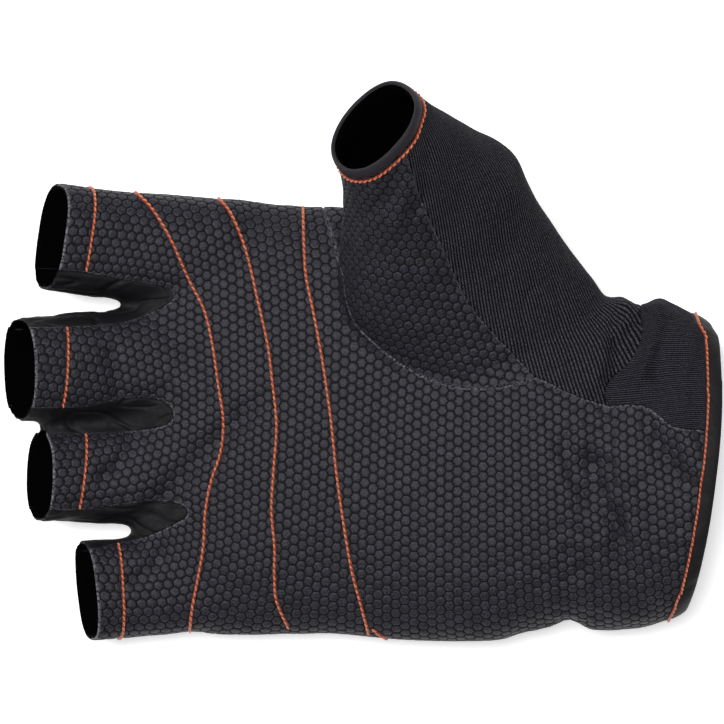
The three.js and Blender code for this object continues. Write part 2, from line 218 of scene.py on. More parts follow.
def tube_faces(count, around, start):
    """Faces of a closed tube through rings of points, numbered from start."""
    ring = np.arange(around)
    base = start + around * np.arange(count - 1)[:, None]
    here, there = base + ring, base + (ring + 1) % around
    sides = np.stack([here, there, there + around, here + around], -1).reshape(-1, 4).tolist()
    ends = [list(start + ring[::-1]), list(start + (count - 1) * around + ring)]
    return sides + ends


def triangles_of(mesh):
    mesh.calc_loop_triangles()
    corners = np.zeros(3 * len(mesh.loop_triangles), np.int32)
    mesh.loop_triangles.foreach_get("vertices", corners)
    points = np.zeros(3 * len(mesh.vertices), np.float32)
    mesh.vertices.foreach_get("co", points)
    return points.reshape(-1, 3).astype(float), corners.reshape(-1, 3)


def in_scene(name, data):
    """A new object of a mesh, lamp or camera, in the scene."""
    made = bpy.data.objects.new(name, data)
    bpy.context.scene.collection.objects.link(made)
    return made


def scratch_object(points, faces):
    """A passing object, for one of Blender's own tools to work on."""
    mesh = bpy.data.meshes.new("scratch")
    mesh.from_pydata(np.asarray(points).tolist(), [], faces)
    return in_scene("scratch", mesh)


def scrap(made):
    mesh = made.data
    bpy.data.objects.remove(made)
    bpy.data.meshes.remove(mesh)


def after_modifiers(made):
    """The points and triangles of a passing object with its modifiers. The object goes."""
    evaluated = made.evaluated_get(bpy.context.evaluated_depsgraph_get())
    points, corners = triangles_of(evaluated.to_mesh())
    evaluated.to_mesh_clear()
    scrap(made)
    return points, corners


def edge_keys(a, b, count):
    """One number for each edge, whichever of its ends comes first."""
    return np.minimum(a, b).astype(np.int64) * count + np.maximum(a, b)


def edges_of(corners):
    """Every edge of some triangles once."""
    count = int(corners.max()) + 1
    keys = np.unique(edge_keys(corners, np.roll(corners, -1, axis=1), count))
    return np.stack([keys // count, keys % count], -1)


def scattered(index, values, count):
    """Sums the rows of values that have the same index."""
    return np.stack([np.bincount(index, values[:, k], count) for k in range(values.shape[1])], -1)


def relaxed(points, corners, rounds, strength=0.5):
    """The points after each has moved towards the middle of its neighbours a few times."""
    edges = edges_of(corners)
    ends, others = edges.ravel(), edges[:, ::-1].ravel()
    degree = np.maximum(np.bincount(ends, minlength=len(points)), 1)[:, None]
    for _ in range(rounds):
        middle = scattered(ends, points[others], len(points)) / degree
        points = points + strength * (middle - points)
    return points


def ends_of(points, corners):
    """The first, second and third point of every triangle."""
    return (points[corners[:, k]] for k in range(3))


def normals_of(points, corners):
    a, b, c = ends_of(points, corners)
    face = np.cross(b - a, c - a)
    return unit(scattered(corners.T.ravel(), np.tile(face, (3, 1)), len(points)))


def filled_skin():
    """One closed skin round the body and all sleeves, with soft roots."""
    points, faces = [], []
    tubes = [body_rings()]
    tubes += [sleeve_rings(rows, SLEEVE_ROUNDNESS[name]) for name, rows in SLEEVES.items()]
    tubes += [sleeve_rings(rows, WEB_ROUNDNESS) for rows in WEBS]
    for rings in tubes:
        faces += tube_faces(len(rings), rings.shape[1], sum(len(p) for p in points))
        points.append(rings.reshape(-1, 3))
    block = scratch_object(np.concatenate(points), faces)
    remesh = block.modifiers.new("skin", "REMESH")
    remesh.mode = "VOXEL"
    remesh.voxel_size = SKIN_CELL
    points, corners = after_modifiers(block)
    return relaxed(points, corners, BLEND_ROUNDS), corners


GATHER_LINE = table(
    "x y",
    (68.5, 30.0),
    (66.2, 14.6),
    (62.6, 3.8),
    (58.1, -9.4),
    (53.6, -26.2),
    (51.0, -44.2),
    (48.8, -64.6),
    (48.5, -80.0),
)
GATHER_DENT = 1.5  # the elastic round the wrist pulls the skin in this much
GATHER_WIDTH = 3.2
PUCKER_HEIGHT = 0.6
PUCKER_REACH = 8.5
FOLDS = table(
    "x1 y1 x2 y2 width height",
    (-50.0, -37.0, -25.0, -9.4, 3.0, -1.5),
    (-56.0, -18.5, -62.5, -28.5, 2.0, -1.1),
    (-58.0, 4.0, -60.0, -9.0, 2.4, -0.8),
    (-49.5, -44.5, -55.5, -54.0, 2.0, -1.1),
    (-44.0, 6.0, -38.0, -12.0, 2.6, -0.6),
    (65.5, -12.7, 78.0, -29.3, 2.0, -1.1),
    (70.0, -11.5, 81.0, -27.0, 2.4, 0.9),
    (54.0, -22.0, 62.0, -43.0, 2.2, -1.2),
    (57.5, -21.0, 66.0, -41.0, 2.6, 1.0),
    (58.3, -37.2, 62.2, -49.0, 1.8, -1.1),
    (62.0, -37.2, 66.2, -49.0, 2.0, 0.7),
    (47.0, -18.0, 56.0, -36.0, 2.6, -0.7),
    (52.0, -26.0, 60.0, -22.0, 1.6, -0.8),
    (51.0, -49.0, 56.0, -55.0, 1.6, -0.9),
    (69.8, 13.5, 65.8, -5.5, 1.6, 1.6),
    (72.2, 10.0, 70.6, -8.0, 1.8, -0.9),
    (77.6, 9.0, 77.8, -12.0, 1.6, 0.6),
    (65.0, 13.0, 63.8, 3.0, 1.8, -1.6),
    (62.2, 3.0, 56.2, -4.4, 1.8, -1.3),
    (59.2, 11.5, 61.4, 4.4, 1.4, -1.0),
    (58.6, 5.0, 60.8, 1.0, 1.2, -0.8),
    (62.8, 14.4, 62.2, 8.4, 1.8, 1.2),
    (56.2, 7.0, 53.2, -5.6, 3.2, 1.1),
    (11.4, 44.0, 5.4, 32.0, 2.0, 1.2),
    (7.4, 45.5, 1.6, 33.0, 1.8, -0.9),
    (13.6, 42.0, 11.6, 34.0, 1.4, -0.8),
    (16.6, 58.0, 14.8, 46.0, 1.6, -0.8),
    (-4.6, 34.0, -3.4, 18.0, 1.8, -0.7),
)
SIDE_LUMPS = table(  # small lumps and dents where the photograph's outline has them
    "x y z reach height",
    (65.9, 15.6, 17.6, 2.6, -2.3),
    (62.6, 15.8, 17.6, 2.6, 0.7),
    (57.4, 15.6, 17.6, 3.0, -0.5),
    (48.4, -63.8, 15.0, 3.0, -0.4),
    (-4.0, 36.0, 24.0, 3.0, -0.8),
)
SWELL, UNEVENNESS = 0.45, 0.2  # soft lumps all over the skin, wide ones and small ones
CREASE_DEPTH = 0.4  # fine creases, deepest where the elastic bunches the palm


def bell(v):
    return np.exp(-(v**2))


def noise_at(points, size, seed):
    """Smooth noise between -1 and 1, with lumps of that size."""
    shift = Vector((17.3 * seed, 5.1 * seed, 9.7 * seed))
    scaled = np.asarray(points) / size
    return np.array([noise.noise(Vector(p) + shift) for p in scaled])


def height_of_folds(points):
    height = np.zeros(len(points))
    for fold in FOLDS:
        along = np.array([fold["x2"] - fold["x1"], fold["y2"] - fold["y1"]])
        length = np.hypot(*along)
        rest = points[:, :2] - [fold["x1"], fold["y1"]]
        share = rest @ along / length**2
        across = (rest[:, 0] * along[1] - rest[:, 1] * along[0]) / length
        bent = across + 1.5 * np.sin(3 * share + fold["x1"])
        taper = bell(np.maximum(0, abs(share - 0.5) - 0.3) * 4)
        height += fold["height"] * taper * bell(bent / fold["width"])
    return height


def height_of_creases(points):
    """Thin winding creases, many near the wrist and a few on the fingers and thumb."""
    first = bell(noise_at(points, np.array([9.0, 15.0, 12.0]), 11) / 0.09)
    second = bell(noise_at(points, np.array([12.0, 8.0, 9.0]), 12) / 0.09)
    much = 0.2 + 0.8 / (1 + np.exp((34 - points[:, 0]) / 5))
    return -CREASE_DEPTH * np.maximum(first, 0.8 * second) * much


def worn_skin():
    """The filled skin with its gather, folds and small lumps, lying flat on the floor."""
    points, corners = filled_skin()
    points[:, 2] = np.maximum(points[:, 2], 0)
    normals = normals_of(points, corners)
    line = np.sort(GATHER_LINE, order="y")
    away = points[:, 0] - np.interp(points[:, 1], line["y"], line["x"])
    facing_up = np.clip(normals[:, 2], 0, 1)
    height = -GATHER_DENT * bell(away / GATHER_WIDTH) * (1 - 0.65 * facing_up)
    pucker = noise_at(points, np.array([16.0, 3.4, 3.4]), 3) + 0.5 * noise_at(points, 3.0, 4)
    height += PUCKER_HEIGHT * pucker * bell(away / PUCKER_REACH)
    for lump in SIDE_LUMPS:
        away = np.linalg.norm(points - [lump["x"], lump["y"], lump["z"]], axis=1)
        height += lump["height"] * bell(away / lump["reach"])
    on_upper_side = np.clip(normals[:, 2] * 2, 0, 1)
    height += (height_of_folds(points) + height_of_creases(points)) * on_upper_side
    height += SWELL * noise_at(points, 19.0, 1) + UNEVENNESS * noise_at(points, 6.5, 2)
    points = points + normals * height[:, None]
    points[:, 2] = np.maximum(points[:, 2], 0)
    return relaxed(points, corners, 1, 0.3), corners


skin_points, skin_corners = worn_skin()
skin_normals = normals_of(skin_points, skin_corners)
skin_tree = BVHTree.FromPolygons(skin_points.tolist(), skin_corners.tolist())


# Palm panel
# One piece of synthetic leather for the palm and the palm side of the four half fingers,
# pressed with small raised hexagons. Its edges are turned in where it is sewn to the strips
# between the fingers, to the thumb and to the back.

SEAM_LINES = {  # places x y, seen from above
    "index_middle": (
        (-95, 21.8), (-73.7, 21.7), (-63.4, 20.4), (-53.8, 18.7), (-47.4, 17.4), (-45.6, 15.6),
        (-47.4, 13.4), (-56.2, 9.8), (-63.4, 8.8), (-73, 8.4), (-95, 8.4),
    ),
    "middle_ring": (
        (-95, -11.4), (-80.9, -11.4), (-68.2, -11.2), (-59.8, -9.6), (-54.2, -8.8),
        (-48.2, -9.6), (-45.6, -12.4), (-48.4, -15.6), (-61.9, -16.9), (-74.9, -16.9),
        (-95, -16.9),
    ),
    "ring_little": (
        (-95, -35.7), (-76.3, -35.7), (-68.2, -35.7), (-58.8, -34.5), (-49.2, -33.5),
        (-43.9, -34.2), (-42.2, -36), (-43.6, -38), (-52.3, -41.9), (-59.5, -43.2),
        (-66.5, -44.6), (-95, -45),
    ),
    "thumb_to_palm": (
        (-11, 62), (-10.4, 41), (-8.2, 31.4), (-5.6, 22.3), (-4.3, 14.4), (-2.2, 9), (1.7, 4.8),
        (7.4, 0.2), (13.6, -3.4), (21, -5.9), (28.5, -6.4), (36.4, -5.4), (40.8, -3.8),
    ),
    "thumb_front_to_back": (
        (40.8, -3.8), (32.4, 5), (25, 13.9), (19, 26.6), (13.9, 37.9), (9.6, 52), (5, 75),
    ),
    "thumb_back_to_palm": ((40.8, -3.8), (43.3, -4.8), (50.8, -8.4), (58.3, -10.8)),
    "thumb_back_to_wrist": (
        (58.3, -10.8), (57.4, -7.2), (59.2, -3.8), (62.8, -0.4), (65.4, 4), (66.3, 8.6),
        (66.2, 14.6), (69, 30),
    ),
    "wrist_to_palm": (
        (58.3, -10.8), (62.9, -10.4), (67.2, -11), (70.3, -13.2), (73, -15.2), (77.3, -16.2),
        (95, -17),
    ),
    "cuff_inner": (
        (77.5, 25), (79.4, 12), (81.4, 6), (82.1, -3.8), (82.1, -11.8), (81.3, -20.8),
        (79.5, -36.6), (76.9, -49), (74.2, -56.9), (71.2, -63.4), (67, -75),
    ),
    "cuff_outer": (
        (79.4, 25), (82.8, 9.8), (84.7, 5.8), (85.2, -0.4), (85.4, -9.4), (84.9, -18.8), (83.9, -28),
        (82.9, -35.6), (81.8, -42.4), (79.9, -51.5), (77.8, -58), (74.6, -64.6), (70, -77),
    ),
}
SIDE_SEAM = table(
    "x z",
    (-95, 26), (-83, 22.4), (-76, 19.8), (-67, 16.8), (-57, 14.4), (-45, 12.4), (-20, 11.2),
    (40, 11.6), (95, 14),
)
SEAM_OVERLAP = 0.03  # each panel runs this much past its seam, so no light comes through
FLAT_SHARE, ROUND_SHARE = 0.3, 0.7  # how far a panel bulges between the skin's vertices
SHEET = 1.1
CURL = 0.6  # the turned edge of a panel rolls in over this distance, and as deep
EDGE_STEP = 0.32
EDGE_ROWS = (0.12, 0.3, 0.54)  # rows of points beside the edge, for its roll
INSIDE_STEP, INSIDE_REACH = 1.5, 0.9  # the inside's coarser mesh, and where it starts
OFF_TABLE = 0.4  # the inside stays this much above the table
EVEN_TRIANGLES = 15000
HEX_PITCH = 2.4
HEX_COLUMN = HEX_PITCH * math.sqrt(3) / 2
HEX_DEPTH = 0.26
HEX_DOME = 0.05
RING_OUTER, RING_INNER = 0.78, 0.45  # rings of the mesh in a hexagon, as shares of its size


def smooth_line(pairs, per_span=5):
    """A smooth line through places, with some points in each span."""
    rows = table("x y", *pairs)
    made = between(rows, np.linspace(0, len(rows) - 1, per_span * (len(rows) - 1) + 1))
    return np.stack([made["x"], made["y"]], -1)


def outline(*lines):
    """A closed outline through seam lines and single corners."""
    points = np.concatenate([np.atleast_2d(np.array(line, float)) for line in lines])
    apart = np.linalg.norm(points - np.roll(points, 1, 0), axis=1)
    return points[apart > 1e-3]


SEAM = {name: smooth_line(pairs) for name, pairs in SEAM_LINES.items()}
OUTLINES = {
    "index_middle": outline(SEAM["index_middle"]),
    "middle_ring": outline(SEAM["middle_ring"]),
    "ring_little": outline(SEAM["ring_little"]),
    "thumb_palm": outline(SEAM["thumb_to_palm"], SEAM["thumb_front_to_back"], (-11, 75)),
    "thumb_back": outline(
        SEAM["thumb_front_to_back"][::-1],
        SEAM["thumb_back_to_palm"],
        SEAM["thumb_back_to_wrist"],
        (69, 75),
    ),
    "wrist_side": outline(SEAM["thumb_back_to_wrist"][::-1], SEAM["wrist_to_palm"], (95, 30)),
    "palm": outline(
        SEAM["ring_little"][::-1],
        SEAM["middle_ring"][::-1],
        SEAM["index_middle"][::-1],
        (-95, 62),
        SEAM["thumb_to_palm"],
        SEAM["thumb_back_to_palm"],
        SEAM["wrist_to_palm"],
        (95, -80),
        (-95, -80),
    ),
}


def inside_outline(points, name):
    """How far each point is inside an outline seen from above, or less than 0 outside it."""
    place = points[:, :2]
    nearest = np.full(len(points), 1e9)
    within = np.zeros(len(points), bool)
    corners = OUTLINES[name]
    for a, b in zip(corners, np.roll(corners, -1, 0)):
        side = b - a
        rest = place - a
        share = np.clip(rest @ side / (side @ side), 0, 1)
        nearest = np.minimum(nearest, ((rest - share[:, None] * side) ** 2).sum(1))
        spans = (a[1] > place[:, 1]) != (b[1] > place[:, 1])
        if a[1] != b[1]:
            crossing = a[0] + (place[:, 1] - a[1]) * side[0] / side[1]
            within ^= spans & (place[:, 0] < crossing)
    return np.where(within, 1, -1) * np.sqrt(nearest)


def in_piece(name):
    """The measure that keeps what is inside an outline."""
    return lambda points: inside_outline(points, name)


def not_in_piece(name):
    return lambda points: -inside_outline(points, name)


def above_side_seam(points):
    return points[:, 2] - np.interp(points[:, 0], SIDE_SEAM["x"], SIDE_SEAM["z"])


SLEEVE_BESIDE = {  # a point inside the skin belongs to the finger between these places in y
    "index": (13.5, 60.0),
    "middle": (-16.1, 13.5),
    "ring": (-41.5, -16.1),
    "little": (-80.0, -41.5),
}
FINGER_ENDS = -50.0  # the openings of the fingers lie beyond this place in x
UNCUT = 50.0  # the distance of points that no opening cuts
THUMB_REACH = 25.0
THUMB_TRIM = 1.6  # the thumb's panels end under its binding
OPENING_SLANT = 6.0  # degrees that a finger's opening leans back towards its palm side
OPENING_BACK = 0.9
UNDER_SKIN = 1.8
CUFF_LAP = 1.2  # the panels run this far under the cuff's binding
SLEEVE_PLACES = 240  # of a line round a sleeve
NO_SLIVER = 0.03  # a cut that would pass a corner nearer than this misses it by as much


def under_skin(points):
    """Points a little below the skin. Where two fingers touch, each is inside its own."""
    normals = [skin_tree.find_nearest(Vector(point))[1] for point in points]
    return points - UNDER_SKIN * np.array(normals).reshape(-1, 3)


def before_openings(points):
    """How far each point is from being cut off at the end of its sleeve."""
    kept = np.full(len(points), UNCUT)
    ends = points[:, 0] < FINGER_ENDS
    finger = np.zeros(len(points))
    finger[ends] = under_skin(points[ends])[:, 1]
    for name, rows in SLEEVES.items():
        centre, along, _, up = (values[-1] for values in sleeve_frame(rows))
        rest = points - centre
        if name == "thumb":
            near = np.linalg.norm(rest, axis=1) < THUMB_REACH
            left = -rest @ along - THUMB_TRIM
        else:
            slant = math.radians(OPENING_SLANT)
            left = -rest @ (along * math.cos(slant) + up * math.sin(slant)) - OPENING_BACK
            low, high = SLEEVE_BESIDE[name]
            near = ends & (finger > low) & (finger <= high)
        kept = np.where(near, np.minimum(kept, left), kept)
    return kept


def before_cuff(points):
    """How far each point is from the cuff's binding, where the panels end under it."""
    line = SEAM["cuff_inner"][::-1]
    return np.interp(points[:, 1], line[:, 1], line[:, 0]) + CUFF_LAP - points[:, 0]


def largest_part(corners, count):
    """The triangles of the largest connected part."""
    label = np.arange(count)
    edges = edges_of(corners)
    while True:
        lower = np.minimum(label[edges[:, 0]], label[edges[:, 1]])
        fresh = label.copy()
        np.minimum.at(fresh, edges[:, 0], lower)
        np.minimum.at(fresh, edges[:, 1], lower)
        fresh = fresh[fresh]
        if (fresh == label).all():
            break
        label = fresh
    parts = label[corners[:, 0]]
    return corners[parts == np.bincount(parts).argmax()]


def trimmed(rows, corners, measure):
    """A mesh without what lies where the measure is below 0, cut along the line of 0.
    A row holds a vertex's place and its normal."""
    field = measure(rows[:, :3])
    field = np.where(abs(field) < NO_SLIVER, NO_SLIVER, field)
    keep = field > 0
    edges = edges_of(corners)
    crossing = edges[keep[edges[:, 0]] != keep[edges[:, 1]]]
    a, b = crossing.T
    share = (field[a] / (field[a] - field[b]))[:, None]
    rows_new = np.concatenate([rows, rows[a] + share * (rows[b] - rows[a])])
    keys = edge_keys(a, b, len(rows))
    order = np.argsort(keys)

    def cut_between(p, q):
        key = edge_keys(p, q, len(rows))
        return len(rows) + order[np.searchsorted(keys, key, sorter=order)]

    count = keep[corners].sum(1)
    made = [corners[count == 3]]
    for wanted, lone_inside in ((1, True), (2, False)):
        some = corners[count == wanted]
        if not len(some):
            continue
        lone = (keep[some] == lone_inside).argmax(1)
        turned = (lone[:, None] + np.arange(3)) % 3
        p, q, r = np.take_along_axis(some, turned, 1).T
        pq, pr = cut_between(p, q), cut_between(p, r)
        if lone_inside:
            made.append(np.stack([p, pq, pr], -1))
        else:
            made.append(np.stack([pq, q, r], -1))
            made.append(np.stack([pq, r, pr], -1))
    made = largest_part(np.concatenate(made), len(rows_new))
    used, renumbered = np.unique(made, return_inverse=True)
    return rows_new[used], renumbered.reshape(-1, 3)


def sides_of(corners):
    """The three sides of every triangle, each with its direction."""
    return np.concatenate([corners[:, [0, 1]], corners[:, [1, 2]], corners[:, [2, 0]]])


def rim_loop(corners):
    """The vertices of the longest open edge, in order round it."""
    known = {(a, b) for a, b in sides_of(corners).tolist()}
    following = {a: b for a, b in known if (b, a) not in known}
    best = []
    while following:
        start, here = following.popitem()
        loop = [start]
        while here != start and here in following:
            loop.append(here)
            here = following.pop(here)
        best = max(best, loop, key=len)
    return np.array(best)


def unwrapped(points, corners, **settings):
    """Blender's own flattening of a mesh."""
    made = scratch_object(points, corners.tolist())
    for other in bpy.context.view_layer.objects:
        other.select_set(other == made)
    bpy.context.view_layer.objects.active = made
    made.data.uv_layers.new(name="pattern")
    bpy.ops.object.mode_set(mode="EDIT")
    bpy.ops.mesh.select_all(action="SELECT")
    bpy.ops.uv.unwrap(fill_holes=True, margin=0, **settings)
    bpy.ops.object.mode_set(mode="OBJECT")
    values = np.zeros(2 * len(made.data.loops), np.float32)
    made.data.uv_layers["pattern"].data.foreach_get("uv", values)
    flat = np.zeros((len(points), 2))
    flat[corners.ravel()] = values.reshape(-1, 2)
    scrap(made)
    return flat


def evenly_unwrapped(points, corners):
    """A flattening that keeps sizes, worked out on fewer triangles because it is slow."""
    fine = scratch_object(points, corners.tolist())
    decimate = fine.modifiers.new("fewer", "DECIMATE")
    decimate.ratio = min(1, EVEN_TRIANGLES / len(corners))
    few_points, few = after_modifiers(fine)
    few_flat = unwrapped(few_points, few, method="MINIMUM_STRETCH", iterations=20)
    tree = BVHTree.FromPolygons(few_points.tolist(), few.tolist())
    near = few[[tree.find_nearest(Vector(p))[2] for p in points]]
    weights = shares_in(points, *ends_of(few_points, near))
    return (few_flat[near] * weights[..., None]).sum(1)


def shares_in(points, a, b, c):
    """How much of each corner of a triangle makes up a point, also a little outside it."""
    ab, ac, rest = b - a, c - a, points - a
    aa, bb, cc = (ab * ab).sum(-1), (ac * ac).sum(-1), (ab * ac).sum(-1)
    first, second = (rest * ab).sum(-1), (rest * ac).sum(-1)
    whole = np.maximum(aa * bb - cc * cc, 1e-12)
    share_b, share_c = (bb * first - cc * second) / whole, (aa * second - cc * first) / whole
    return np.stack([1 - share_b - share_c, share_b, share_c], -1)


def turn_of(a, b, c):
    """Twice the area of flat triangles, less than 0 where they turn clockwise."""
    return (b - a)[:, 0] * (c - a)[:, 1] - (b - a)[:, 1] * (c - a)[:, 0]


def aligned(flat, points, corners):
    """A flattening in millimetres, seen from outside, with +u close to +X, and the area."""
    a, b, c = ends_of(points, corners)
    faces = np.cross(b - a, c - a)
    area = np.linalg.norm(faces, axis=1).sum() / 2
    signed = turn_of(*ends_of(flat, corners)) / 2
    if signed.sum() < 0:
        flat = flat * [-1, 1]
    flat = flat * math.sqrt(area / abs(signed).sum())
    seen = points[:, :2] * [1, 1 if faces[:, 2].sum() > 0 else -1]
    seen, flat = seen - seen.mean(0), flat - flat.mean(0)
    cross = (flat[:, 0] * seen[:, 1] - flat[:, 1] * seen[:, 0]).sum()
    turn = math.atan2(cross, (flat * seen).sum())
    cos, sin = math.cos(turn), math.sin(turn)
    return flat @ np.array([[cos, sin], [-sin, cos]]), area


def cut_out(measures):
    """The places, normals and triangles of the skin where every measure is above 0."""
    rows, corners = np.concatenate([skin_points, skin_normals], 1), skin_corners
    for measure in measures:
        rows, corners = trimmed(rows, corners, lambda points: measure(points) + SEAM_OVERLAP)
    corners = largest_part(corners, len(rows))
    used, corners = np.unique(corners, return_inverse=True)
    return rows[used], corners.reshape(-1, 3)


def cut_panel(*measures, even=False):
    """A panel cut out of the skin, with its flat pattern."""
    rows, corners = cut_out(measures)
    points = rows[:, :3]
    if even:
        flat = evenly_unwrapped(points, corners)
    else:
        flat = unwrapped(points, corners, method="CONFORMAL")
    flat, area = aligned(flat, points, corners)
    return {
        "points": points,
        "normals": unit(rows[:, 3:]),
        "corners": corners,
        "flat": flat,
        "area": area,
        "rim": rim_loop(corners),
    }


def at_zero(places):
    """Flat places as points of height 0."""
    return np.pad(places, ((0, 0), (0, 1)))


def tree_of(points):
    """A search tree that finds the nearest of some points."""
    tree = KDTree(len(points))
    for k, point in enumerate(points):
        tree.insert(point, k)
    tree.balance()
    return tree


def on_panel(panel, places):
    """Where places of the flat pattern lie on the worn glove: points, normals and a mask."""
    flat, corners = panel["flat"], panel["corners"]
    tree = BVHTree.FromPolygons(at_zero(flat).tolist(), corners.tolist())
    down = Vector((0, 0, -1))
    hits = [tree.ray_cast(Vector((u, v, 1)), down)[2] for u, v in places]
    found = np.array([hit is not None for hit in hits])
    for k in np.flatnonzero(~found):
        hits[k] = tree.find_nearest(Vector((*places[k], 0)))[2]
    near = corners[hits]
    weights = shares_in(places, *ends_of(flat, near))[..., None]
    ends, ways = panel["points"][near], panel["normals"][near]
    flat_place = (ends * weights).sum(1)
    below = ((flat_place[:, None] - ends) * ways).sum(-1, keepdims=True)
    round_place = ((flat_place[:, None] - below * ways) * weights).sum(1)
    point = FLAT_SHARE * flat_place + ROUND_SHARE * round_place
    return point, unit((ways * weights).sum(1)), found


def evenly_spaced(line, step, closed=True):
    """Fractional places at even distances along a line of points."""
    ends = np.concatenate([line, line[:1]]) if closed else line
    length = np.concatenate([[0], np.cumsum(np.linalg.norm(np.diff(ends, axis=0), axis=1))])
    count = max(3, round(length[-1] / step))
    wanted = np.linspace(0, length[-1], count + (not closed), endpoint=not closed)
    return np.interp(wanted, length, np.arange(len(ends)))


def along_line(line, places, closed=True):
    ends = np.concatenate([line, line[:1]]) if closed else line
    first = np.minimum(places.astype(int), len(ends) - 2)
    share = (places - first)[:, None]
    return ends[first] * (1 - share) + ends[first + 1] * share


def triangulated(places, rim_count, lines):
    """Triangles between places of a flat pattern, with the given lines among their sides.
    The first places are the pattern's rim, in order."""
    made = delaunay_2d_cdt([Vector(p) for p in places], lines, [list(range(rim_count))], 1, 1e-5)
    source = np.array([origin[0] if origin else -1 for origin in made[3]])
    corners = source[np.array(made[2])]
    corners = corners[(corners >= 0).all(1)]
    turned = turn_of(*ends_of(places, corners)) < 0
    corners[turned] = corners[turned][:, ::-1]
    return corners


def rim_distances(rim, places):
    tree = tree_of(at_zero(rim))
    return np.array([tree.find((u, v, 0))[2] for u, v in places])


def hexagon_points(low, high, rim):
    """Places for a fine mesh of raised hexagons, and which of them are corners of grooves.
    Near the rim, where hexagons are cut off, their sides have more places."""
    turn = np.radians(np.arange(0, 360, 60))
    ring = np.stack([np.cos(turn), np.sin(turn)], -1) * HEX_PITCH / math.sqrt(3)
    cell = np.concatenate([ring[:2], ring * RING_OUTER, ring * RING_INNER, [[0, 0]]])
    columns = np.arange(math.floor(low[0] / HEX_COLUMN), math.ceil(high[0] / HEX_COLUMN) + 1)
    rows = np.arange(math.floor(low[1] / HEX_PITCH) - 1, math.ceil(high[1] / HEX_PITCH) + 1)
    column, row = (grid.ravel() for grid in np.meshgrid(columns, rows))
    middle = np.stack([column * HEX_COLUMN, (row + 0.5 * (column % 2)) * HEX_PITCH], -1)
    corner = np.tile(np.arange(len(cell)) < 2, len(middle))
    after = np.roll(ring, -1, 0)
    more = [(ring + (after - ring) * share)[:3] for share in (0.25, 0.5, 0.75)]
    more += [(ring + (after - ring) * share) * RING_OUTER for share in (0.33, 0.67)]
    beside = middle[rim_distances(rim, middle) < HEX_PITCH]
    extra = (beside[:, None] + np.concatenate(more)).reshape(-1, 2)
    places = np.concatenate([(middle[:, None] + cell).reshape(-1, 2), extra])
    return places, np.concatenate([corner, np.zeros(len(extra), bool)])


def grooves_between(places):
    """Pairs of corners that a groove joins."""
    side = HEX_PITCH / math.sqrt(3) * 1.05
    tree = tree_of(at_zero(places))
    return [
        (k, near)
        for k, (u, v) in enumerate(places)
        for _, near, _ in tree.find_range((u, v, 0), side)
        if near > k
    ]


def hexagon_relief(places, _points):
    """The height of the pressed leather, and a tone: 0 in a groove, which the material paints as
    shade, to 1 on a hexagon, a little less at its middle.
    """
    column = np.round(places[:, 0] / HEX_COLUMN)
    best = np.full(len(places), 9.0)
    cell = np.zeros((len(places), 2))
    for step in (-1, 0, 1):
        u = (column + step) * HEX_COLUMN
        half = 0.5 * ((column + step) % 2)
        v = (np.round(places[:, 1] / HEX_PITCH - half) + half) * HEX_PITCH
        x, y = abs(places[:, 0] - u), abs(places[:, 1] - v)
        reach = np.maximum(y, x * math.sqrt(3) / 2 + y / 2) / (HEX_PITCH / 2)
        nearer = reach < best
        best = np.where(nearer, reach, best)
        cell[nearer] = np.stack([u, v], -1)[nearer]
    lump = noise_at(at_zero(cell), 5.0, 8)
    raised = 1 - np.clip((best - RING_OUTER) / (1 - RING_OUTER), 0, 1)
    dome = HEX_DOME * (1 - best**2) * raised
    middle = np.clip((RING_OUTER - best) / (RING_OUTER - RING_INNER), 0, 1)
    return HEX_DEPTH * (raised - 1) * (1 + 0.3 * lump) + dome + 0.03 * lump, raised - 0.12 * middle


def lattice(low, high, across, along, angle):
    """Places in staggered rows, across and along a direction of the pattern."""
    reach = np.linalg.norm(high - low) / 2
    middle = (low + high) / 2
    u, v = np.meshgrid(np.arange(-reach, reach, across), np.arange(-reach, reach, along))
    v = v + (np.arange(u.shape[1]) % 2) * along / 2
    cos, sin = math.cos(angle), math.sin(angle)
    places = np.stack([u * cos - v * sin, u * sin + v * cos], -1).reshape(-1, 2) + middle
    return places, np.zeros(len(places), bool)


def between_edges(a, b, shift):
    """Triangles from the outside's rim to the inside's, whose numbers are that much higher."""
    return np.concatenate(
        [np.stack([b, a, a + shift], -1), np.stack([b, a + shift, b + shift], -1)]
    )


def edge_roll(from_rim):
    """How far the turned edge of a panel rolls down."""
    return CURL * (1 - np.sqrt(1 - np.clip(1 - from_rim / CURL, 0, 1) ** 2))


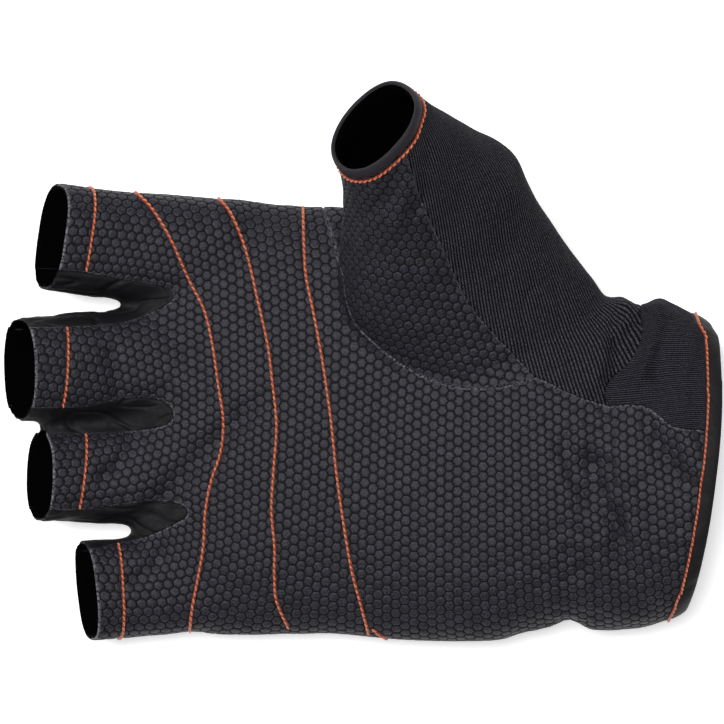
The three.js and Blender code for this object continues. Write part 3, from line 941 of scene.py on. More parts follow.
def sewn_sheet(name, panel, fine, relief, marks=None):
    """A panel as a thin closed sheet: its worked outside, its rolled edge and its inside."""
    flat, rim = panel["flat"], panel["rim"]
    steps = evenly_spaced(panel["points"][rim], EDGE_STEP)
    edge = {key: along_line(panel[key][rim], steps) for key in ("flat", "points", "normals")}
    edge_flat, count = edge["flat"], len(steps)
    ahead = unit(np.roll(edge_flat, -1, 0) - np.roll(edge_flat, 1, 0))
    inward = np.stack([-ahead[:, 1], ahead[:, 0]], -1)
    low, high = flat.min(0), flat.max(0)
    outside, inside = [edge_flat], [edge_flat]
    for offset in EDGE_ROWS:
        row = edge_flat + offset * inward
        outside.append(row[rim_distances(edge_flat, row) > 0.9 * offset])
    lines = []
    for (places, corner), into, reach in (
        (fine(low, high, edge_flat), outside, EDGE_ROWS[-1] + 0.1),
        (lattice(low, high, INSIDE_STEP, INSIDE_STEP, 0), inside, INSIDE_REACH),
    ):
        kept = on_panel(panel, places)[2]
        places, corner = places[kept], corner[kept]
        kept = rim_distances(edge_flat, places) > reach
        places, corner = places[kept], corner[kept]
        numbers = sum(len(row) for row in into) + np.flatnonzero(corner)
        lines.append([(numbers[a], numbers[b]) for a, b in grooves_between(places[corner])])
        into.append(places)
    layers = []
    for rows, grooves in zip((outside, inside), lines):
        places = np.concatenate(rows)
        points, normals, _ = on_panel(panel, places)
        points[:count], normals[:count] = edge["points"], unit(edge["normals"])
        layers.append((places, points, normals, triangulated(places, count, grooves)))
    places, points, normals, corners = layers[0]
    from_rim = rim_distances(edge_flat, places)
    from_rim[:count] = 0
    height, tone = relief(places, points)
    height = height * np.clip(from_rim / CURL - 0.4, 0, 1)
    if marks:
        height = height + marks(points)
    height = height - edge_roll(from_rim)
    outer = points + normals * height[:, None]
    outer[:, 2] = np.maximum(outer[:, 2], 0)
    _, points, normals, inner_corners = layers[1]
    inner = points - normals * SHEET
    inner[:, 2] = np.maximum(inner[:, 2], OFF_TABLE)
    ring = np.arange(count)
    after = (ring + 1) % count
    rim_faces = between_edges(ring, after, len(outer))
    blank = np.zeros(len(inner))
    return sheet_object(
        name,
        (outer, corners, rim_faces),
        (inner, inner_corners),
        at_zero(np.concatenate([places, layers[1][0]])),
        {"raised": np.concatenate([tone, blank]), "from_edge": np.concatenate([from_rim, blank])},
    )


def smooth_mesh(name, points, faces):
    """A smooth mesh in metres, from points in millimetres."""
    mesh = bpy.data.meshes.new(name)
    mesh.from_pydata((points * 0.001).tolist(), [], faces)
    mesh.polygons.foreach_set("use_smooth", [True] * len(faces))
    return mesh


def keep_pattern(mesh, places):
    """Gives each point its place on the flat pattern, in millimetres, for the materials."""
    mesh.attributes.new("pattern", "FLOAT_VECTOR", "POINT").data.foreach_set(
        "vector", places.astype(np.float32).ravel()
    )


def sheet_object(name, outside, inside, pattern, shares):
    """The object of a closed sheet, with the lining's material slot on its inside and edge."""
    outer, corners, rim_faces = outside
    inner, inner_corners = inside
    faces = np.concatenate([corners, rim_faces, inner_corners[:, ::-1] + len(outer)])
    mesh = smooth_mesh(name, np.concatenate([outer, inner]), faces.tolist())
    lined = [0] * len(corners) + [1] * (len(rim_faces) + len(inner_corners))
    mesh.polygons.foreach_set("material_index", lined)
    keep_pattern(mesh, pattern)
    for key, values in shares.items():
        mesh.attributes.new(key, "FLOAT", "POINT").data.foreach_set(
            "value", values.astype(np.float32)
        )
    return in_scene(name, mesh)


def dressed(piece, node, material):
    """The materials of a piece of leather or fabric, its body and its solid."""
    piece.data.materials.append(material)
    # The second slot, on the inside and the edges, is the black lining, which also paints the shade
    # inside the openings.
    piece.data.materials.append(black_lining_and_shade)
    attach(piece, "root")
    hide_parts(node)


def sewn_in(piece, node, material):
    """What every panel needs: its materials, its body and its hidden solid."""
    dressed(piece, node, material)


def colour(code):
    """A colour of a picture, such as #2b2b31, as the linear colour that Blender takes."""
    parts = [int(code[k : k + 2], 16) / 255 for k in (1, 3, 5)]
    return [c / 12.92 if c <= 0.04045 else ((c + 0.055) / 1.055) ** 2.4 for c in parts] + [1]


def add(tree, kind, inputs=None, **settings):
    """Adds a node with its settings, and a value or a link for each of its inputs."""
    node = tree.nodes.new(kind)
    for key, value in settings.items():
        setattr(node, key, value)
    for key, value in (inputs or {}).items():
        if isinstance(value, bpy.types.NodeSocket):
            tree.links.new(value, node.inputs[key])
        else:
            node.inputs[key].default_value = value
    return node


def new_material(name):
    made = bpy.data.materials.new(name)
    made.use_nodes = True
    made.node_tree.nodes.clear()
    return made, made.node_tree


def finished(tree, inputs):
    """The shader and the output of a material."""
    shader = add(tree, "ShaderNodeBsdfPrincipled", inputs)
    add(tree, "ShaderNodeOutputMaterial", {"Surface": shader.outputs["BSDF"]})


def kept_value(tree, name, output="Fac"):
    """A value that the mesh keeps for each of its points."""
    return add(tree, "ShaderNodeAttribute", attribute_name=name).outputs[output]


def bumped(tree, height, strength, distance, **settings):
    inputs = {"Height": height, "Strength": strength, "Distance": distance}
    return add(tree, "ShaderNodeBump", inputs, **settings).outputs["Normal"]


def noise_pattern(tree, place, per_mm, detail=3.0):
    """Grain of that many lumps a millimetre, from 0 to 1."""
    inputs = {"Vector": place, "Scale": per_mm, "Detail": detail, "Roughness": 0.55}
    return add(tree, "ShaderNodeTexNoise", inputs).outputs["Fac"]


def between_colours(tree, share, low, high):
    """A mix of two colours or sockets."""
    node = add(tree, "ShaderNodeMix", {0: share}, data_type="RGBA")
    for socket, value in ((node.inputs[6], low), (node.inputs[7], high)):
        if isinstance(value, bpy.types.NodeSocket):
            tree.links.new(value, socket)
        else:
            socket.default_value = colour(value)
    return node.outputs[2]


def spread(tree, value, low, high, to_low=0.0, to_high=1.0):
    inputs = {"Value": value, 1: low, 2: high, 3: to_low, 4: to_high}
    return add(tree, "ShaderNodeMapRange", inputs).outputs["Result"]


def embossed_leather(name, top, groove, patch, edge_glint):
    """Polyurethane leather pressed with hexagons: a satin grain on the raised cells, which
    shows as soft grey light, and matt grooves between them, painted near black as shade.
    Pale specks along its turned edges are painted highlights on the rims."""
    made, tree = new_material(name)
    place = kept_value(tree, "pattern", "Vector")
    raised = kept_value(tree, "raised")
    edge = kept_value(tree, "from_edge")
    hue = between_colours(tree, spread(tree, noise_pattern(tree, place, 0.35), 0.35, 0.65), top, patch)
    grain = noise_pattern(tree, place, 2.3, 4.0)
    cell = between_colours(tree, spread(tree, grain, 0.38, 0.58), groove, hue)
    # Towards the grooves the colour goes to the groove colour: painted shade in the hollows, and
    # partly grime.
    face = between_colours(tree, spread(tree, raised, 0.4, 0.9), groove, cell)
    # Pale specks along the turned edges: painted highlights on the rims.
    specks = spread(tree, noise_pattern(tree, place, 1.5), 0.44, 0.6)
    along_edge = add(
        tree,
        "ShaderNodeMath",
        {0: spread(tree, edge, 0.1, 0.6, 0.9, 0.0), 1: specks},
        operation="MULTIPLY",
    ).outputs[0]
    base = between_colours(tree, along_edge, face, edge_glint)
    rough = spread(tree, raised, 0.3, 0.9, 0.95, 0.6)
    finished(tree, {
        "Base Color": base, "Roughness": rough, "IOR": 1.5, "Specular IOR Level": 0.3,
        "Normal": bumped(tree, grain, 0.8, 0.0001),
    })
    return made


def lining():
    """Black brushed nylon inside the glove, near pure black and without shine: its own black, and
    painted shade that makes the openings look deep.
    """
    made, tree = new_material("black_lining_painted_shade")
    fuzz = noise_pattern(tree, kept_value(tree, "pattern", "Vector"), 2.0)
    base = between_colours(tree, fuzz, "#000000", "#020202")
    finished(tree, {"Base Color": base, "Roughness": 0.95, "Specular IOR Level": 0.03})
    return made


def marks_at(lines, depth, width):
    """How much thread pulls the leather in along its lines."""
    tree = tree_of(np.concatenate(lines))

    def marks(places):
        away = np.array([tree.find(place)[2] for place in places])
        return -depth * bell(away / width)

    return marks


def on_top(line):
    """Points of a line seen from above, laid on the glove, and the normals there."""
    points, normals = [], []
    for x, y in line:
        place, normal, _, _ = skin_tree.ray_cast(Vector((x, y, 200)), Vector((0, 0, -1)))
        if place is not None:
            points.append(place)
            normals.append(normal)
    return np.array(points), np.array(normals)


def round_sleeve(rows, back, turned=0.0):
    """Points of the skin round a sleeve, at a distance back from its opening and turned
    by some degrees against it."""
    end = rows[-1:].copy()
    end["azimuth"] += turned
    centre, along, across, up = (values[0] for values in sleeve_frame(end))
    width, depth = end["width"][0], end["depth"][0]
    middle = Vector(centre - along * back)
    points, normals = [], []
    for turn in np.linspace(0, 2 * math.pi, SLEEVE_PLACES, endpoint=False):
        way = across * math.cos(turn) * width + up * math.sin(turn) * depth
        place, normal, _, _ = skin_tree.ray_cast(middle, Vector(way).normalized())
        points.append(place)
        normals.append(normal)
    return np.array(points), np.array(normals)


PALM_STITCHES = (
    (
        (-55, 40.6), (-53, 38.9), (-50.2, 35.8), (-46.1, 29), (-41.8, 19.4), (-38.2, 12.2),
        (-36.2, 3.8), (-34.8, -5.8), (-33.6, -14.2), (-34.3, -21.8), (-36.5, -28.6),
        (-37.9, -35.8), (-38.4, -44.2), (-39.6, -51.4), (-41, -58.6), (-41.8, -65.3),
    ),
    (
        (-34.8, 38.9), (-31.7, 35), (-28.3, 26.6), (-25.4, 14.6), (-23, 3.8), (-21.8, -5.8),
        (-20.9, -15.4), (-21.6, -26.2), (-22.1, -35.8), (-21.4, -44.2), (-21.4, -51.4),
        (-20.9, -57.4), (-18.2, -63.6),
    ),
    (
        (-14.6, 36.7), (-14.4, 29), (-13.9, 20.6), (-12.2, 12.2), (-10.6, 3.8), (-9.4, -3.4),
        (-7.9, -14.2), (-6.5, -27.4), (-4.6, -40.6), (-2.9, -50.2), (-0.7, -58.6), (1, -65),
    ),
    ((2.4, -64.4), (3.8, -65.6), (5.4, -66.4)),
)
MARK_DEPTH, MARK_WIDTH = 0.32, 0.75  # how the thread pulls the leather in
HEMS = {  # how far back from the opening, and the turn in degrees
    "index": (8.3, 0.0),
    "middle": (9.8, -4.0),
    "ring": (9.4, -6.0),
    "little": (8.2, -3.0),
    "thumb": (3.7, 0.0),
}

palm_lines = [on_top(smooth_line(pairs, 12)) for pairs in PALM_STITCHES]
hem_lines = {name: round_sleeve(SLEEVES[name], *place) for name, place in HEMS.items()}
stitched = [points for points, _ in [*palm_lines, *hem_lines.values()]]
stitch_marks = marks_at(stitched, MARK_DEPTH, MARK_WIDTH)

palm = cut_panel(above_side_seam, in_piece("palm"), before_openings, before_cuff, even=True)
palm_piece = sewn_sheet("palm_leather", palm, hexagon_points, hexagon_relief, stitch_marks)
black_lining_and_shade = lining()
# Colours: cells, grooves as painted shade, patches, and pale edge specks as painted highlights.
palm_leather = embossed_leather(
    "hexagon_embossed_leather", "#25232d", "#030305", "#34323d", "#77737a"
)
sewn_in(palm_piece, "palm_panel", palm_leather)


# Strips between the fingers
# Three narrow pieces of smooth fine-grained leather, let in between two fingers and round
# the crotch, so that the palm's turned edge stands over them.

GUSSETS = {
    "index_middle_gusset": "index_middle",
    "middle_ring_gusset": "middle_ring",
    "ring_little_gusset": "ring_little",
}
STRIP_LOW = 0.45  # the strips lie this much lower than the palm's edge
STRIP_WIDTH = 18.0  # about the depth of a finger
STRIP_WRINKLES = 0.45  # how deep the wrinkles along a strip are


def smooth_leather(name, low, high):
    """Smooth polyurethane leather with a fine grain, which gives small soft highlights."""
    made, tree = new_material(name)
    place = kept_value(tree, "pattern", "Vector")
    base = between_colours(tree, noise_pattern(tree, place, 0.3), low, high)
    grain = noise_pattern(tree, place, 2.8, 4.0)
    rough = spread(tree, noise_pattern(tree, place, 0.8), 0.3, 0.7, 0.6, 0.75)
    finished(tree, {
        "Base Color": base, "Roughness": rough, "IOR": 1.5, "Specular IOR Level": 0.22,
        "Normal": bumped(tree, grain, 0.8, 0.00012),
    })
    return made


def slight_relief(flat, points):
    """The soft unevenness of a piece without a pressed or ribbed face."""
    return 0.07 * noise_at(points, 1.8, 5), np.ones(len(flat))


def halved(rows, corners):
    """Every triangle cut into four at the middles of its sides."""
    edges = edges_of(corners)
    count = len(rows)
    keys = edge_keys(*edges.T, count)

    def middle(p, q):
        return count + np.searchsorted(keys, edge_keys(p, q, count))

    p, q, r = corners.T
    pq, qr, rp = middle(p, q), middle(q, r), middle(r, p)
    quarters = ((p, pq, rp), (pq, q, qr), (rp, qr, r), (pq, qr, rp))
    rows = np.concatenate([rows, (rows[edges[:, 0]] + rows[edges[:, 1]]) / 2])
    return rows, np.concatenate([np.stack(quarter, -1) for quarter in quarters])


def strip_sheet(name, measures):
    """A narrow strip as a thin closed sheet on the skin's own triangles, made finer."""
    rows, corners = halved(*cut_out(measures))
    points, normals = rows[:, :3], unit(rows[:, 3:])
    sides = sides_of(corners)
    keys = edge_keys(*sides.T, len(points))
    _, first, uses = np.unique(keys, return_index=True, return_counts=True)
    rim = sides[first[uses == 1]]
    tree = tree_of(points[rim[:, 0]])
    from_rim = np.array([tree.find(place)[2] for place in points])
    height, tone = slight_relief(points, points)
    wrinkles = bell(noise_at(points, np.array([11.0, 3.2, 5.0]), 10) / 0.13)
    height = height - STRIP_WRINKLES * wrinkles - edge_roll(from_rim) - STRIP_LOW
    outer = points + normals * height[:, None]
    inner = points - normals * SHEET
    outer[:, 2] = np.maximum(outer[:, 2], 0)
    inner[:, 2] = np.maximum(inner[:, 2], OFF_TABLE)
    rim_faces = between_edges(*rim.T, len(points))
    a, b, c = ends_of(points, corners)
    area = np.linalg.norm(np.cross(b - a, c - a), axis=1).sum() / 2
    piece = sheet_object(
        name,
        (outer, corners, rim_faces),
        (inner, corners),
        np.concatenate([points, points]),
        {"raised": np.concatenate([tone, tone]), "from_edge": np.concatenate([from_rim, from_rim])},
    )
    return piece, area / STRIP_WIDTH


strip_leather = smooth_leather("fine_grained_leather", "#08080a", "#131216")
for node, name in GUSSETS.items():
    strip_piece, length = strip_sheet(
        node.replace("gusset", "strip"),
        (in_piece(name), before_openings),
    )
    dressed(strip_piece, node, strip_leather)


# Inner patch of the thumb
# The same pressed leather as the palm, as a piece of its own from the thumb's opening down
# to the ball of the thumb. Along the thumb it stands up in a soft fold.

thumb_patch = cut_panel(above_side_seam, in_piece("thumb_palm"), before_openings, even=True)
thumb_patch_piece = sewn_sheet(
    "thumb_patch_leather", thumb_patch, hexagon_points, hexagon_relief, stitch_marks
)
# Colours: cells, grooves as painted shade, patches, and pale edge specks as painted highlights.
thumb_leather = embossed_leather(
    "thumb_embossed_leather", "#24232c", "#030305", "#34323d", "#6d6a71"
)
sewn_in(thumb_patch_piece, "thumb_palm_panel", thumb_leather)


# Back of the hand
# One piece of knitted stretch nylon under the hand and up its sides. It isn't in view from
# above except at the rims, and it is flat where the glove lies on it.

KNIT_STEP = 0.9  # between the points of the back's mesh


def stretch_knit(name, low, middle, high, per_mm):
    """Knitted nylon with elastane: rows of small loops, matt, with painted highlights on their backs
    and painted shade in the grooves between ribs.
    """
    made, tree = new_material(name)
    place = kept_value(tree, "pattern", "Vector")
    raised = kept_value(tree, "raised")
    loops = add(
        tree, "ShaderNodeTexVoronoi", {"Vector": place, "Scale": per_mm, "Randomness": 0.35}
    ).outputs["Distance"]
    fuzz = noise_pattern(tree, place, 2.5, 4.0)
    # The last colour shows on the loops' backs as painted highlights.
    tone = between_colours(tree, spread(tree, fuzz, 0.3, 0.7), middle, high)
    looped = between_colours(tree, spread(tree, loops, 0.25, 0.75), tone, middle)
    # The first colour goes into the grooves between ribs as painted shade.
    base = between_colours(tree, spread(tree, raised, 0.3, 0.8), low, looped)
    finished(tree, {
        "Base Color": base, "Roughness": 0.85, "Specular IOR Level": 0.12,
        "Normal": bumped(tree, loops, 0.5, 0.0001, invert=True),
    })
    return made


back = cut_panel(
    lambda points: -above_side_seam(points),
    *(not_in_piece(name) for name in GUSSETS.values()),
    before_openings,
    before_cuff,
)
back_piece = sewn_sheet(
    "back_fabric",
    back,
    lambda low, high, rim: lattice(low, high, KNIT_STEP, KNIT_STEP, 0),
    slight_relief,
    stitch_marks,
)
# Colours: groove shade, the knit's colour, and the pale colour of the painted highlights on the loops.
back_knit = stretch_knit("stretch_nylon_knit", "#0c0c0e", "#18181b", "#29292d", 1.6)
sewn_in(back_piece, "back_panel", back_knit)


# Outer side of the thumb
# Stretch fabric with a ribbed twill face, from the thumb's opening over the ball of the thumb
# to the wrist, where the elastic bunches it up.

RIB_PITCH = 0.76
RIB_DEPTH = 0.26
RIB_TURN = 0.55  # the way across the ribs in the pattern, in radians from +X


def ribs(pitch, depth, turn):
    """Rows of ribs across the pattern in that direction, a little uneven."""

    def relief(flat, points):
        across = flat[:, 0] * math.cos(turn) + flat[:, 1] * math.sin(turn)
        wander = 0.25 * noise_at(points, 9.0, 6) + 0.06 * noise_at(points, 2.0, 7)
        wave = 0.5 + 0.5 * np.cos(2 * math.pi * (across / pitch + wander))
        strength = 0.75 + 0.35 * noise_at(points, 6.0, 9)
        return depth * (wave**0.7 - 1) * strength, wave

    return relief


thumb_back = cut_panel(above_side_seam, in_piece("thumb_back"), before_openings)
thumb_back_piece = sewn_sheet(
    "thumb_twill",
    thumb_back,
    lambda low, high, rim: lattice(low, high, RIB_PITCH / 5, 1.0, RIB_TURN),
    ribs(RIB_PITCH, RIB_DEPTH, RIB_TURN),
    stitch_marks,
)
# Colours: painted shade in the rib grooves, the twill's colour, and the pale colour of the painted
# highlights on the loops.
twill = stretch_knit("ribbed_twill", "#010102", "#1d1d21", "#5a5963", 2.4)
sewn_in(thumb_back_piece, "thumb_back_panel", twill)


# Side of the wrist
# A small piece of rib knit under the thumb, with its fine ribs running up the glove.

WALE_PITCH = 0.55
WALE_DEPTH = 0.16
WALE_TURN = math.pi / 2  # the ribs run along the glove

wrist = cut_panel(above_side_seam, in_piece("wrist_side"), before_cuff)
wrist_piece = sewn_sheet(
    "wrist_rib_knit",
    wrist,
    lambda low, high, rim: lattice(low, high, WALE_PITCH / 5, 1.0, WALE_TURN),
    ribs(WALE_PITCH, WALE_DEPTH, WALE_TURN),
)
# Colours: painted shade in the rib grooves, the knit's colour, and the pale colour of the painted
# highlights on the loops.
rib_knit = stretch_knit("rib_knit", "#010102", "#1f1f24", "#4e4d58", 2.4)
sewn_in(wrist_piece, "wrist_side_panel", rib_knit)


# Bindings of the thumb and the cuff
# A folded tape of smooth leather over each opening's edge. It is sewn down near its inner
# edge, so it puffs up a little between the stitching and the edge.

TAPE = table(
    "back height",
    (1.0, -0.45), (0.96, 0.05), (0.82, 0.28), (0.55, 0.36), (0.3, 0.3), (0.12, 0.12), (0.02, -0.1),
    (0.0, -0.38), (0.04, -0.62), (0.2, -0.85), (0.5, -1.25), (1.0, -1.65), (2.75, -1.7),
    (2.85, -1.5), (2.75, -1.25), (1.0, -1.2), (0.6, -0.75), (0.45, -0.3), (0.6, -0.15),
    (0.96, -0.2),
)
TAPE_INSIDE = range(9, 15)  # the rows of the tape that lie inside the glove
TAPE_WIDTHS = {"thumb": 2.6, "cuff": 4.2}
CUFF_END = 84.0  # where the search for the cuff's edge starts, in x
CUFF_PLACES = 320  # of a line round the wrist


def round_cuff(back):
    """Points of the skin round the wrist, at a distance back from the cuff's edge."""
    line = SEAM["cuff_outer"][::-1]
    points, normals = [], []
    for turn in np.linspace(0, 2 * math.pi, CUFF_PLACES, endpoint=False):
        x = CUFF_END - back
        for _ in range(4):  # each round starts closer to the wanted place
            place = np.interp(x, BODY["x"], np.arange(len(BODY)))
            row = between(BODY, np.array([place]))[0]
            middle = Vector((x, (row["top"] + row["bottom"]) / 2, row["middle"]))
            wide, deep = (row["top"] - row["bottom"]) / 2, row["depth"] / 2
            way = Vector((0, wide * math.cos(turn), deep * math.sin(turn))).normalized()
            place, normal, _, _ = skin_tree.ray_cast(middle, way)
            x = float(np.interp(place.y, line[:, 1], line[:, 0])) - back
        points.append(place)
        normals.append(normal)
    return np.array(points), np.array(normals)


def folded_tape(name, ring_at, width):
    """A tape folded over an opening's edge, swept round it."""
    rings = []
    for bend in TAPE:
        points, normals = ring_at(bend["back"] * width)
        points = points + normals * bend["height"]
        for _ in range(3):
            points = (np.roll(points, 1, 0) + 2 * points + np.roll(points, -1, 0)) / 4
        points[:, 2] = np.maximum(points[:, 2], 0)
        rings.append(points)
    count, rows = len(rings[0]), len(rings)
    along, turn = np.meshgrid(np.arange(rows), np.arange(count), indexing="ij")
    after, beyond = (along + 1) % rows, (turn + 1) % count
    faces = np.stack(
        [along * count + turn, along * count + beyond, after * count + beyond, after * count + turn],
        -1,
    ).reshape(-1, 4)
    mesh = smooth_mesh(name, np.concatenate(rings), faces.tolist())
    # The tape's rows inside the glove take the black lining: painted shade over the tape's own
    # leather.
    lined = [int(k in TAPE_INSIDE) for k in range(rows) for _ in range(count)]
    mesh.polygons.foreach_set("material_index", lined)
    edge = np.linalg.norm(np.diff(rings[3], axis=0, append=rings[3][:1]), axis=1)
    run = np.cumsum(edge) - edge[0]
    spans = np.hypot(np.diff(TAPE["back"]) * width, np.diff(TAPE["height"]))
    across = np.concatenate([[0], np.cumsum(spans)])
    place = np.stack([np.tile(run, rows), np.repeat(across, count), np.zeros(rows * count)], -1)
    keep_pattern(mesh, place)
    made = bmesh.new()
    made.from_mesh(mesh)
    if made.calc_volume(signed=True) < 0:
        bmesh.ops.reverse_faces(made, faces=made.faces)
    made.to_mesh(mesh)
    made.free()
    return in_scene(name, mesh), across[-1] / 2 + 0.4, edge.sum()


for node, name, shades, ring_at, width in (
    (
        "thumb_binding",
        "thumb_tape",
        ("#1c1a1e", "#28252b"),
        lambda back: round_sleeve(SLEEVES["thumb"], back),
        TAPE_WIDTHS["thumb"],
    ),
    ("cuff_binding", "cuff_tape", ("#0e0c0d", "#171315"), round_cuff, TAPE_WIDTHS["cuff"]),
):
    tape_piece, strip_width, around = folded_tape(name, ring_at, width)
    dressed(tape_piece, node, smooth_leather(name + "_leather", *shades))


# Stitching
# Thick orange polyester thread in a lockstitch: three curved lines across the palm, a ring at
# each finger's hem, one before the thumb's binding, and one on the cuff's binding.

CUFF_STITCH_BACK, CUFF_STITCH_HEIGHT = 3.4, 0.42  # from the cuff's edge, and over the skin
STITCHING = {  # from one stitch to the next, the length of a stitch, and the thread's radius
    "palm_stitching": (1.55, 1.3, 0.24),
    "hem_stitching": (1.45, 1.2, 0.22),
    "cuff_stitching": (1.35, 1.05, 0.2),
}
STITCH_SLANT = 0.3
STITCH_SIDES = 8
OVER_TABLE = 0.02  # thread stays this much above the table
UNDER_WIDER = 1.55  # how much thicker the thread between the stitches looks
UNDER_SUNK = 0.2
UNDER_STEP, UNDER_SIDES = 0.8, 6
HEM_CLEAR = 0.6  # a hem's stitching stops this much before a strip
SHORTEST_RUN = 8  # points of a line that still get stitches
# A stitch from end to end: where its rings are, and how thick it is there
STITCH_BEND = np.array([-1.0, -0.82, -0.45, 0.0, 0.45, 0.82, 1.0])
STITCH_FULL = np.array([0.35, 0.8, 1.0, 1.05, 1.0, 0.8, 0.35])


def stitches(line, normals, closed, pitch, length, thick):
    """Points and faces of one stitch after another along a line on the glove."""
    places = evenly_spaced(line, pitch, closed)
    middle, up = along_line(line, places, closed), unit(along_line(normals, places, closed))
    ahead = along_line(line, np.minimum(places + 0.5, len(line) - 1 + closed * 0.5), closed)
    behind = along_line(line, np.maximum(places - 0.5, 0), closed)
    along = unit(ahead - behind)
    side = unit(np.cross(up, along))
    points, faces = [], []
    turn = np.linspace(0, 2 * math.pi, STITCH_SIDES, endpoint=False)
    for k in range(len(places)):
        uneven = noise.noise(Vector((k * 1.7, pitch, length)))
        way = along[k] + side[k] * (STITCH_SLANT + 0.12 * uneven)
        way = way / np.linalg.norm(way)
        across = np.cross(up[k], way)
        half = length / 2 * (1 + 0.1 * uneven)
        start = sum(len(p) for p in points)
        rings = [
            middle[k]
            + way * bend * half
            + up[k] * (thick * (1.0 - 1.1 * bend**2))
            + full * thick * (np.outer(np.cos(turn), across) + np.outer(np.sin(turn), up[k]))
            for bend, full in zip(STITCH_BEND, STITCH_FULL)
        ]
        faces += tube_faces(len(rings), len(turn), start)
        stitch = np.concatenate(rings)
        stitch[:, 2] += max(0, OVER_TABLE - stitch[:, 2].min())
        points.append(stitch)
    return np.concatenate(points), faces


def thread_under(line, normals, closed, thick):
    """The continuous thread that shows between two stitches; its darker red colour paints the shade
    along the stitches' sides.
    """
    places = evenly_spaced(line, UNDER_STEP, closed)
    middle, up = along_line(line, places, closed), unit(along_line(normals, places, closed))
    along = unit(np.roll(middle, -1, 0) - np.roll(middle, 1, 0))
    if not closed:
        along[0], along[-1] = unit(middle[1] - middle[0]), unit(middle[-1] - middle[-2])
    side = np.cross(up, along)
    turn = np.linspace(0, 2 * math.pi, UNDER_SIDES, endpoint=False)
    rings = [
        middle - up * UNDER_SUNK + thick * (math.cos(t) * side + math.sin(t) * up) for t in turn
    ]
    grid = np.stack(rings, 1)
    grid[..., 2] = np.maximum(grid[..., 2], OVER_TABLE)
    faces = tube_faces(len(grid), UNDER_SIDES, 0)
    if closed:
        faces = faces[:-2]
        ring = np.arange(UNDER_SIDES)
        last, after = (len(grid) - 1) * UNDER_SIDES, (ring + 1) % UNDER_SIDES
        faces += np.stack([last + ring, last + after, after, ring], -1).tolist()
    return grid.reshape(-1, 3), faces


def thread(name, low, high):
    """Bonded polyester thread, three plies twisted: bright, with a silky shine on each ply, and the
    paler colour mixed in by noise as painted highlights on the plies.
    """
    made, tree = new_material(name)
    place = add(tree, "ShaderNodeTexCoord").outputs["Object"]
    plies = noise_pattern(tree, place, 3000.0)
    base = between_colours(tree, spread(tree, plies, 0.3, 0.7), low, high)
    finished(tree, {
        "Base Color": base, "Roughness": 0.5, "Sheen Weight": 0.2,
        "Normal": bumped(tree, plies, 0.5, 0.00008),
    })
    return made


def joined(name, parts, material):
    points, faces = [], []
    for part_points, part_faces in parts:
        start = sum(len(p) for p in points)
        points.append(part_points)
        faces += [[corner + start for corner in face] for face in part_faces]
    mesh = smooth_mesh(name, np.concatenate(points), faces)
    made = bmesh.new()
    made.from_mesh(mesh)
    bmesh.ops.recalc_face_normals(made, faces=made.faces)
    made.to_mesh(mesh)
    made.free()
    mesh.materials.append(material)
    piece = in_scene(name, mesh)
    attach(piece, "root")
    return piece


def between_strips(line, normals, whole):
    """The runs of a hem's stitching: it stops where the strips between the fingers begin."""
    if whole:
        return [(line, normals, True)]
    strips = [inside_outline(line, name) for name in GUSSETS.values()]
    free = np.max(strips, axis=0) < -HEM_CLEAR
    start = int(np.argmin(free))
    free, line, normals = (np.roll(values, -start, 0) for values in (free, line, normals))
    changes = np.flatnonzero(np.diff(free.astype(int), prepend=0, append=0))
    return [
        (line[a:b], normals[a:b], False)
        for a, b in changes.reshape(-1, 2).tolist()
        if b - a > SHORTEST_RUN
    ]


cuff_points, cuff_normals = round_cuff(CUFF_STITCH_BACK)
cuff_points = cuff_points + cuff_normals * CUFF_STITCH_HEIGHT
# The paler orange is painted highlights, spread over the plies by noise with the twist's own tone.
orange = thread("orange_polyester_thread", "#a4340e", "#ec8648")
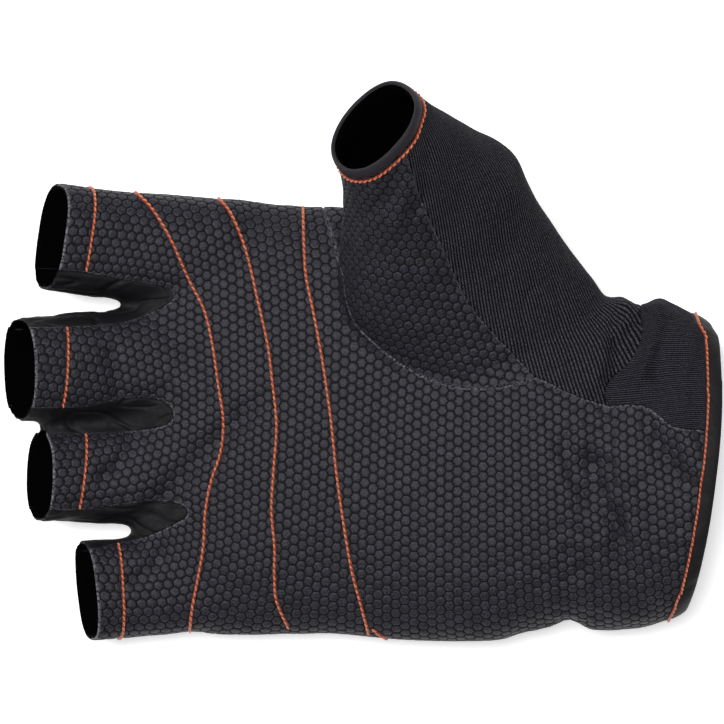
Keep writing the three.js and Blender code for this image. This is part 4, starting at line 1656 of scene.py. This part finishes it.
# A darker copy of the orange thread, for the thread between the stitches: painted shade on the
# stitches' sides.
thread_shade = thread("orange_thread_painted_shade", "#4a0f08", "#9c2c12")
runs = {  # points, their normals, and whether the line closes
    "palm_stitching": [(line, normals, False) for line, normals in palm_lines],
    "hem_stitching": [
        run
        for name, (line, normals) in hem_lines.items()
        for run in between_strips(line, normals, name == "thumb")
    ],
    "cuff_stitching": [(cuff_points, cuff_normals, True)],
}
for name, (pitch, length, thick) in STITCHING.items():
    joined(name, [stitches(*run, pitch, length, thick) for run in runs[name]], orange)
    under = [thread_under(*run, thick * UNDER_WIDER) for run in runs[name]]
    joined(name + "_under", under, thread_shade)


# Floor, light and camera
# A white table lit a little from below, as for catalogue pictures, one large soft light beside
# the camera and a weaker one from the upper left, and a long lens straight above the palm.

TABLE_HALF, TABLE_HEIGHT = 3, -0.0003
CAMERA_HEIGHT = 5.0
VIEW_CENTRE = (-0.0005, -0.0002)
VIEW_WIDTH = 0.17376  # of the table, across the whole picture
SENSOR = 36.0

floor_mesh = bpy.data.meshes.new("table_top")
table_corners = [
    (x * TABLE_HALF, y * TABLE_HALF, TABLE_HEIGHT) for x, y in ((-1, -1), (1, -1), (1, 1), (-1, 1))
]
floor_mesh.from_pydata(table_corners, [], [(0, 1, 2, 3)])
floor = in_scene("table_top", floor_mesh)
white, tree = new_material("white_laminate")
finished(tree, {
    "Base Color": colour("#f4f4f4"), "Roughness": 0.9, "Specular IOR Level": 0.1,
    "Emission Color": colour("#ffffff"), "Emission Strength": 0.55,
})
floor_mesh.materials.append(white)

for name, place, size, power in (
    ("light_above", (-0.6, 0.6, 6.4), 1.8, 330),
    ("light_left", (-3.0, 2.4, 4.2), 1.4, 120),
):
    lamp = bpy.data.lights.new(name, "AREA")
    lamp.energy = power
    lamp.size = size
    made = in_scene(name, lamp)
    made.location = place
    made.rotation_euler = (-Vector(place)).to_track_quat("-Z", "Y").to_euler()

world = bpy.data.worlds.new("room")
world.use_nodes = True
background = world.node_tree.nodes["Background"]
background.inputs["Color"].default_value = colour("#ffffff")
background.inputs["Strength"].default_value = 0.12
bpy.context.scene.world = world
bpy.context.scene.view_settings.view_transform = "Standard"

camera = bpy.data.cameras.new("camera")
camera.sensor_width = SENSOR
camera.lens = SENSOR * CAMERA_HEIGHT / VIEW_WIDTH
camera_object = in_scene("camera", camera)
camera_object.location = (*VIEW_CENTRE, CAMERA_HEIGHT)
bpy.context.scene.camera = camera_object
